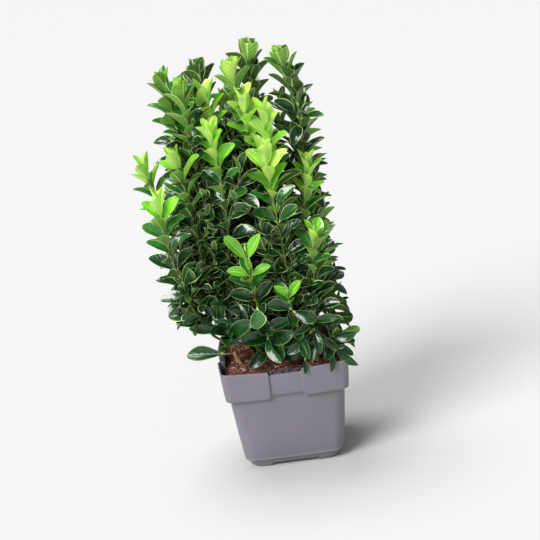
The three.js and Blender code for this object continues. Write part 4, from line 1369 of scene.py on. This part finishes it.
class EUONYMUS_OT_make_pot(bpy.types.Operator):
    """Makes the square nursery pot with its collar, recesses, rounded foot and drain channels"""

    bl_idname = "euonymus.make_pot"
    bl_label = "Make Pot"

    def execute(self, context):
        pot = context.scene.euonymus.pot
        rings = self.rings(pot)
        levels = [self.level(pot, *ring) for ring in rings]
        columns = len(levels[0])
        points = np.concatenate(levels)
        faces = grid_faces(len(levels), columns, closed=True)
        # The wall that rises behind the recess's ledge is given a darker grey plastic
        behind_ledge = next(row for row, ring in enumerate(rings) if ring[-1] == "ledge") - 1
        _, _, place, _ = self.outline(pot.rim_half, pot.collar_corner)
        recess_wall_faces = np.zeros((len(levels) - 1, columns), int)
        recess_wall_faces[behind_ledge] = np.abs(place) < pot.recess_half
        plastic = plastic_material("pot_plastic", tuple(pot.colour), tuple(pot.scuff))
        recess_wall_grey = plastic_material("pot_recess_wall", tuple(pot.recess_wall_grey), tuple(pot.colour))
        piece = mesh_object("nursery_pot", points, faces, [plastic, recess_wall_grey], recess_wall_faces.ravel())
        # One face closes the smallest ring in the middle of the underside
        middle = bmesh.new()
        middle.from_mesh(piece.data)
        middle.verts.ensure_lookup_table()
        middle.faces.new([middle.verts[i] for i in range(columns - 1, -1, -1)])
        middle.to_mesh(piece.data)
        middle.free()
        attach(piece, BODY)
        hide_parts("pot")
        return {"FINISHED"}

    def foot_inset(self, z):
        """How far the foot is drawn in at a height."""
        line_foot, line_top = LINE_HEIGHTS
        step = 0.0
        if z < line_foot * MM:
            step = LINE_STEP * MM
        elif z < line_top * MM:
            step = -LINE_RELIEF * MM
        return FOOT_DRAW * MM * max(0.0, 1 - z / (FOOT_HEIGHT * MM)) ** FOOT_POWER + step

    def rings(self, pot):
        """The rings of the pot from the middle of its underside, up its outside and down its inside.

        Each is: half width, height, corner radius, share of the bulge, depth into the recess, kind of shift.
        """
        collar_z = pot.height - pot.collar_height
        rim, wall = pot.rim_half, pot.wall
        corner, collar_corner = pot.body_corner, pot.collar_corner
        base = pot.base_half - self.foot_inset(0)
        rings = [(base * share, 0.0, corner, 0, NO_RECESS, "under") for share in UNDERSIDE_RINGS]
        for z in BODY_RINGS:
            half = pot.base_half + (pot.body_top_half - pot.base_half) * z * MM / collar_z
            half -= self.foot_inset(z * MM) + (GROUND_INSET * MM if z == 0 else 0)
            bulge = smooth_step(z, 0, BULGE_FULL)
            rings.append((half, z * MM, corner, bulge, NO_RECESS, "under" if z < CHANNEL_TOP else ""))
        for out, below in NECK_RINGS:
            rings.append((pot.body_top_half + out * MM, collar_z - below * MM, corner, 1, NO_RECESS, "lift"))
        for inset, z in COLLAR_EDGE_RINGS:
            half = pot.collar_foot_half - inset * MM
            rings.append((half, collar_z + z * MM, collar_corner, 1, IN_RECESS, "lift"))
        for z in COLLAR_RINGS:
            half = pot.collar_foot_half + (rim - pot.collar_foot_half) * z * MM / pot.collar_height
            rings.append((half, collar_z + z * MM, collar_corner, 1, IN_RECESS, "drop"))
        for inset, below in LIP_RINGS:
            rings.append((rim - inset * MM, pot.height - below * MM, collar_corner, 1, IN_RECESS, "drop"))
        rings.append((rim - LIP_TOP * wall, pot.height, collar_corner, 1, LIP_TOP_DEPTH, "drop"))
        for out, below, shift in INSIDE_RINGS:
            half = rim - wall + out * MM
            rings.append((half, pot.height - below * MM, collar_corner - wall, 1, BEHIND_LEDGE, shift))
        return rings

    def outline(self, half, radius):
        """A rounded square: points, their outward directions, their places along a side, and its bulge."""
        inner = np.array(SIDE_PLACES) * MM
        inner = np.concatenate([-inner[:0:-1], inner])
        flat = half - radius
        right = inner[-1] + (flat - inner[-1]) * np.array(CORNER_PLACES)
        along = np.concatenate([-right[::-1], inner, right])
        angles = np.linspace(0, np.pi / 2, CORNER_STEPS)[1:-1]
        arc_out = np.stack([np.sin(angles), -np.cos(angles)], 1)
        side = np.stack([along, np.full(len(along), -half)], 1)
        points = np.concatenate([side, np.array([flat, -flat]) + radius * arc_out])
        normal = np.concatenate([np.tile([0.0, -1.0], (len(along), 1)), arc_out])
        place = np.concatenate([along, np.full(len(angles), half)])
        bulge = np.concatenate([1 - (along / flat) ** 2, np.zeros(len(angles))])
        turns = [np.array(Matrix.Rotation(quarter * math.pi / 2, 2)).T for quarter in range(4)]
        points, normal = (np.concatenate([part @ turn for turn in turns]) for part in (points, normal))
        return points, normal, np.tile(place, len(turns)), np.tile(bulge, len(turns))

    def level(self, pot, half, z, radius, bulge, depth, shift):
        """The points of one ring."""
        # Rings under the pot keep the shape of the base and only shrink
        shape = pot.base_half - self.foot_inset(0) if shift == "under" else half
        points, normal, place, flatness = self.outline(shape, radius)
        points = points * (half / shape)
        above = z - (pot.height - pot.collar_height)
        in_corner = min(1, max(0, 1 - above / (RECESS_ROUND * MM)))
        round_off = RECESS_ROUND * MM * (1 - math.sqrt(1 - in_corner**2))
        edge = pot.recess_half + (round_off if depth else 0)
        mask = 1 - smooth_step(np.abs(place), edge - RECESS_SOFTNESS * MM, edge + RECESS_SOFTNESS * MM)
        inward = pot.recess_depth * min(depth, 1) * mask + pot.ledge * max(0, depth - 1) * mask
        points = points + normal * (pot.bulge * bulge * flatness - inward)[:, None]
        height = np.full(len(points), z)
        if shift == "under":
            height = np.maximum(height, self.channel(pot, points) + CHANNEL_RISE * height)
        elif shift == "lift":
            height = height + pot.recess_lift * mask
        elif shift in ("drop", "ledge"):
            drop = pot.recess_drop if shift == "drop" else WALL_DIP * MM
            height = height - (drop * mask + pot.rim_dip * flatness) * above / pot.collar_height
        return np.column_stack([points, height])

    def channel(self, pot, points):
        """How high the drain channels rise over points of the underside."""
        sideways = np.abs(points).min(1)
        outwards = np.abs(points).max(1)
        soft = CHANNEL_SOFTNESS * MM
        inner, outer = (pot.base_half - end * MM for end in CHANNEL_ENDS)
        channel = 1 - smooth_step(sideways, pot.channel_half - soft, pot.channel_half + soft)
        return pot.channel_height * (channel * smooth_step(outwards, inner, outer))


class EUONYMUS_OT_make_soil(bpy.types.Operator):
    """Makes the uneven soil, with crumbs, chips of bark, fibres and specks on it"""

    bl_idname = "euonymus.make_soil"
    bl_label = "Make Soil"

    def execute(self, context):
        soil = context.scene.euonymus.soil
        pot = context.scene.euonymus.pot
        line = np.linspace(-1, 1, SOIL_STEPS)
        points = [self.place(soil, pot, over, down) for down in line for over in line]
        earth = mottled_material("soil_earth", *tints(soil.colour, SOIL_TINTS), **EARTH)
        piece = mesh_object("soil_surface", points, grid_faces(SOIL_STEPS, SOIL_STEPS), [earth])
        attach(piece, BODY)
        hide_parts("soil")
        self.make_litter(soil, pot)
        return {"FINISHED"}

    def place(self, soil, pot, over, down):
        """A point of the soil's grid, which follows the bulge of the pot and is drawn in at its corners."""
        drawn = SOIL_CORNER * MM
        x = over * (soil.half + pot.bulge * (1 - down**2) - drawn * down**SOIL_CORNER_POWER)
        y = down * (soil.half + pot.bulge * (1 - over**2) - drawn * over**SOIL_CORNER_POWER)
        return x, y, self.height(soil, x, y)

    def height(self, soil, x, y):
        """Height of the soil, which is lumpy and sinks a little to the wall."""
        rough = noise.fractal(Vector((x, y, LUMP_LEVEL)) * LUMP_SCALE, *LUMP_NOISE) * soil.relief
        edge = max(abs(x), abs(y)) / soil.half
        return soil.top + rough - SOIL_SINK * MM * max(0.0, edge - SINK_START) / SINK_WIDTH

    def make_litter(self, soil, pot):
        """Crumbs, chips, fibres and specks, which lie on the soil, and some on the recess's ledge."""
        rng = np.random.default_rng(soil.seed)
        kinds = (
            ("crumb", soil.crumbs, soil.colour),
            ("chip", soil.chips, soil.chip_colour),
            ("fibre", soil.fibres, soil.fibre_colour),
            ("speck", soil.specks, soil.speck_colour),
        )
        parts, which, materials = [], [], []
        for kind, (name, count, colour) in enumerate(kinds):
            materials.append(mottled_material(f"soil_{name}", *tints(colour, LITTER_TINTS), **SCRAPS))
            on_ledge = count // LEDGE_ONE_IN if name in LEDGE_LITTER else 0
            for n in range(count):
                scrap = self.scrap(rng, soil, pot, *LITTER[name], n < on_ledge)
                parts.append(scrap)
                which.extend([kind] * len(scrap[1]))
        points, faces = joined(parts)
        litter = mesh_object("soil_litter", points, faces, materials, which)
        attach(litter, BODY)

    def scrap(self, rng, soil, pot, lengths, radii, arch, mesh, on_ledge):
        """One scrap of litter: a short rough tube, bowed and tapered, that lies any way round."""
        rings, sides = mesh
        share = np.linspace(-1, 1, rings)
        long = rng.uniform(*lengths) * MM
        thick = rng.uniform(*radii) * MM
        if on_ledge:
            x = rng.uniform(-LEDGE_SPAN, LEDGE_SPAN) * pot.recess_half
            y = -pot.rim_half - pot.bulge + pot.recess_depth + rng.uniform(*LEDGE_INWARDS) * MM
            z = pot.height - pot.rim_dip - rng.uniform(*LEDGE_BELOW) * MM
            long = min(long, LEDGE_LONGEST * MM)
        else:
            x, y = rng.uniform(-SOIL_SPAN, SOIL_SPAN, 2) * (soil.half - SOIL_EDGE * MM)
            z = self.height(soil, x, y)
        turn = rng.uniform(0, 2 * math.pi)
        tip = rng.uniform(-LITTER_TILT, LITTER_TILT)
        ahead = np.array([math.cos(turn) * math.cos(tip), math.sin(turn) * math.cos(tip), math.sin(tip)])
        side = np.array([-math.sin(turn), math.cos(turn), 0])
        above = np.cross(ahead, side)
        axis = np.array([x, y, z + LITTER_HEIGHT * thick]) + ahead * (share * 0.5 * long)[:, None]
        bow = (1 - share**2) * long * arch
        upward = bow * rng.uniform(*BOW_UP)
        sideways = bow * rng.uniform(*BOW_SIDEWAYS)
        axis = axis + above * upward[:, None] + side * sideways[:, None]
        taper = thick * (1 - LITTER_TAPER * np.abs(share) ** 3)[:, None]
        rough = taper * (1 + rng.uniform(-LITTER_ROUGHNESS, LITTER_ROUGHNESS, (rings, sides)))
        return tube_arrays(axis, np.tile(side, (rings, 1)), np.tile(above, (rings, 1)), rough, sides)


class EUONYMUS_OT_make_stems(bpy.types.Operator):
    """Makes the woody stems with the relief of their bark"""

    bl_idname = "euonymus.make_stems"
    bl_label = "Make Stems"

    def execute(self, context):
        settings = context.scene.euonymus
        wood = settings.wood
        angle = np.linspace(0, 2 * np.pi, STEM_SIDES, endpoint=False)
        shares = np.linspace(0, 1, STEM_RINGS)
        level = np.tile([1.0, 0, 0], (STEM_RINGS, 1))
        across = np.tile([0, 1.0, 0], (STEM_RINGS, 1))
        parts = []
        for stem in STEMS:
            places = [stem_place(settings, stem, share) for share in shares]
            points = np.array([centre for centre, radius in places])
            points[0, 2] -= STEM_SINK * MM
            radii = np.array([radius for centre, radius in places])[:, None] * np.ones(STEM_SIDES)
            for i in range(STEM_RINGS):
                up = points[i, 2] * BARK_UP + points[i, 0] * BARK_SHIFT
                for j in range(STEM_SIDES):
                    spot = Vector((math.cos(angle[j]) * BARK_ROUND, math.sin(angle[j]) * BARK_ROUND, up))
                    radii[i, j] += wood.bark_relief * noise.fractal(spot, *BARK_NOISE)
            radii[-1] *= STEM_END
            parts.append(tube_arrays(points, level, across, radii, STEM_SIDES))
        points, faces = joined(parts)
        bark = mottled_material("bark", tuple(wood.bark_dark), tuple(wood.bark), **BARK)
        piece = mesh_object("woody_stems", points, faces, [bark])
        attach(piece, BODY)
        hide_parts(*(f"stem_{stem}" for stem in STEMS))
        return {"FINISHED"}


class EUONYMUS_OT_make_foliage(bpy.types.Operator):
    """Grows the twigs and the leaves of every shoot"""

    bl_idname = "euonymus.make_foliage"
    bl_label = "Make Foliage"

    def execute(self, context):
        settings = context.scene.euonymus
        growth = Growth(settings)
        self.make_twigs(settings, growth.twigs)
        groups = sorted({row["group"] for row in growth.leaves})
        for green in GREENS:
            finishes = [self.materials(settings.leaf, green, low) for low in (False, True)]
            for group in groups:
                rows = [row for row in growth.leaves if row["green"] == green and row["group"] == group]
                if rows:
                    self.make_leaves(settings.leaf, green, group, rows, finishes[group.startswith("foot")])
        return {"FINISHED"}

    def make_leaves(self, leaf, green, group, rows, finish):
        """The leaves of one green in one part of the crown, in place of the shoots of that green there."""
        points, faces, part, uv = leaf_arrays(leaf, rows)
        tone = np.repeat([row["tone"] for row in rows], len(part) // len(rows))
        face_material = np.where(part == BLADE, tone, part + len(TONES) - 1)
        piece = mesh_object(f"leaves_{green}_{group}", points, faces, finish, face_material, uv)
        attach(piece, BODY)
        nodes = [
            f"shoot_{name}"
            for name, row in SHOOTS.items()
            if row[-1] == green and group_of(name) == group
        ]
        if nodes:
            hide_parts(*nodes)

    def materials(self, leaf, green, low):
        """The materials of one green, in the crown or low down, in the order of a leaf's parts.

        The blade has one for each tone.
        """
        name = f"leaf_{green}_low" if low else f"leaf_{green}"
        colour = tuple(getattr(leaf, green))
        roughness, coat, glow = FINISHES[green]
        coat = coat * (LOW_COAT if low else 1)
        blades = [
            leaf_material(f"{name}_{i}", tone, roughness, coat, BLADE_VEINS, glow)
            for i, tone in enumerate(tints(colour, TONES))
        ]
        edge = tuple(leaf.low_margin if low else leaf.margin)
        if green in YOUNG_GREENS:
            edge = shaded(colour, YOUNG_MARGIN_TINT)
        colours = {
            "margin": edge,
            "midrib": shaded(colour, MIDRIB_TINT),
            "under": tuple(getattr(leaf, f"{green}_under")),
            "stalk": tuple(leaf.stalk),
        }
        return blades + [
            leaf_material(f"{name}_{part}", tint, *PART_FINISHES[part], glow if part == "under" else 0.0)
            for part, tint in colours.items()
        ]

    def make_twigs(self, settings, twigs):
        """The twigs, brown at their feet and green above."""
        wood = settings.wood
        young, old = [], []
        for twig, foot_radius, tip_radius, end, woody in twigs:
            count = max(TWIG_RINGS, int(end / (TWIG_RING_STEP * MM)))
            distance = np.linspace(0, end, count)
            frames = [twig.at(d) for d in distance]
            points, side, across = (np.array([place[i] for place in frames]) for i in (0, 2, 3))
            radii = foot_radius + (tip_radius - foot_radius) * distance / max(end, SHORTEST)
            below = twig.length - distance
            beat = np.cos(2 * np.pi * (below - FIRST_NODE * MM) / settings.leaf.spacing)
            radii = radii + wood.node_swell * np.clip(beat, 0, 1) ** NODE_SHARPNESS
            radii[-1] *= TWIG_END_SHARE
            line = points, side, across, radii
            split = int(count * woody)
            if split:
                old.append(tube_arrays(*(table[: split + 1] for table in line), TWIG_SIDES))
            young.append(tube_arrays(*(table[split:] for table in line), TWIG_SIDES))
        for name, parts, colour, slot in (
            ("green_twigs", young, tuple(wood.twig), "leaf_mid"),
            ("woody_twigs", old, tuple(wood.twig_old), "bark"),
        ):
            points, faces = joined(parts)
            rind = mottled_material(name, *tints(colour, TWIG_TINTS), **RIND)
            piece = mesh_object(name, points, faces, [rind])
            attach(piece, BODY)


class EUONYMUS_OT_make_stage(bpy.types.Operator):
    """Makes the pale floor, the soft lights and the camera"""

    bl_idname = "euonymus.make_stage"
    bl_label = "Make Stage"

    def execute(self, context):
        stage = context.scene.euonymus.stage
        scene = context.scene
        material, _, shader, _ = new_material("pale_floor")
        shader.inputs["Base Color"].default_value = (*stage.floor, 1)
        shader.inputs["Roughness"].default_value = FLOOR_ROUGHNESS
        signs = ((-1, -1), (1, -1), (1, 1), (-1, 1))
        corners = [(x * FLOOR_REACH, y * FLOOR_REACH, 0) for x, y in signs]
        floor = mesh_object("floor", corners, [(0, 1, 2, 3)], [material])

        world = bpy.data.worlds.new("studio")
        world.use_nodes = True
        background = world.node_tree.nodes["Background"]
        background.inputs["Color"].default_value = WHITE
        background.inputs["Strength"].default_value = stage.world_strength
        scene.world = world
        scene.view_settings.view_transform = "Standard"

        self.light(scene, "key_light", KEY_FROM, stage.key_strength, stage.key_angle)
        self.light(scene, "top_light", TOP_FROM, stage.top_strength, stage.top_angle)
        self.light(scene, "fill_light", FILL_FROM, stage.fill_strength, stage.fill_angle)
        self.camera(scene, stage)
        return {"FINISHED"}

    def light(self, scene, name, place, strength, angle):
        """A wide soft light from far away that faces the plant, so that floor and plant are lit evenly."""
        lamp = bpy.data.lights.new(name, "SUN")
        lamp.energy = strength
        lamp.angle = angle
        holder = bpy.data.objects.new(name, lamp)
        holder.location = Vector(place) * LIGHT_DISTANCE
        holder.rotation_euler = (Vector(LIGHT_AIM) - holder.location).to_track_quat("-Z", "Y").to_euler()
        scene.collection.objects.link(holder)

    def camera(self, scene, stage):
        """The camera, which looks down a little and is rolled."""
        camera = bpy.data.cameras.new("camera")
        camera.lens = stage.camera_lens
        camera.sensor_width = SENSOR_WIDTH
        camera.clip_end = FARTHEST_SEEN
        viewer = bpy.data.objects.new("camera", camera)
        tilt, roll = stage.camera_elevation, stage.camera_roll
        ahead = Vector((0, math.cos(tilt), -math.sin(tilt)))
        right = Vector((1, 0, 0))
        up = right.cross(ahead)
        turned_right = right * math.cos(roll) - up * math.sin(roll)
        turned_up = right * math.sin(roll) + up * math.cos(roll)
        eye = Vector(stage.aim) - ahead * stage.camera_distance
        axes = (turned_right, turned_up, -ahead, eye)
        viewer.matrix_world = Matrix([[axis[row] for axis in axes] for row in range(3)] + [[0, 0, 0, 1]])
        scene.collection.objects.link(viewer)
        scene.camera = viewer


class EUONYMUS_PT_panel(bpy.types.Panel):
    """Lists the steps that build the potted euonymus"""

    bl_idname = "EUONYMUS_PT_panel"
    bl_label = "Potted Euonymus"
    bl_space_type = "VIEW_3D"
    bl_region_type = "UI"
    bl_category = "Euonymus"

    def draw(self, context):
        settings = context.scene.euonymus
        for operator, group in STEPS:
            box = self.layout.box()
            box.operator(operator.bl_idname)
            part = getattr(settings, group)
            for key in part.__annotations__:
                box.prop(part, key)


STEPS = (
    (EUONYMUS_OT_make_pot, "pot"),
    (EUONYMUS_OT_make_soil, "soil"),
    (EUONYMUS_OT_make_stems, "wood"),
    (EUONYMUS_OT_make_foliage, "leaf"),
    (EUONYMUS_OT_make_stage, "stage"),
)
CLASSES = (
    EuonymusPotSettings,
    EuonymusSoilSettings,
    EuonymusWoodSettings,
    EuonymusLeafSettings,
    EuonymusStageSettings,
    EuonymusSettings,
    *(operator for operator, _ in STEPS),
    EUONYMUS_PT_panel,
)


def register():
    """Registers the classes and the scene's settings."""
    for item in CLASSES:
        bpy.utils.register_class(item)
    bpy.types.Scene.euonymus = PointerProperty(
        name="Euonymus",
        description="Settings of the potted euonymus",
        type=EuonymusSettings,
    )


def unregister():
    """Takes the settings and the classes away again."""
    del bpy.types.Scene.euonymus
    for item in reversed(CLASSES):
        bpy.utils.unregister_class(item)


def main():
    """Builds the whole scene."""
    register()
    bpy.ops.euonymus.make_pot()
    bpy.ops.euonymus.make_soil()
    bpy.ops.euonymus.make_stems()
    bpy.ops.euonymus.make_foliage()
    bpy.ops.euonymus.make_stage()


if __name__ == "__main__":
    main()
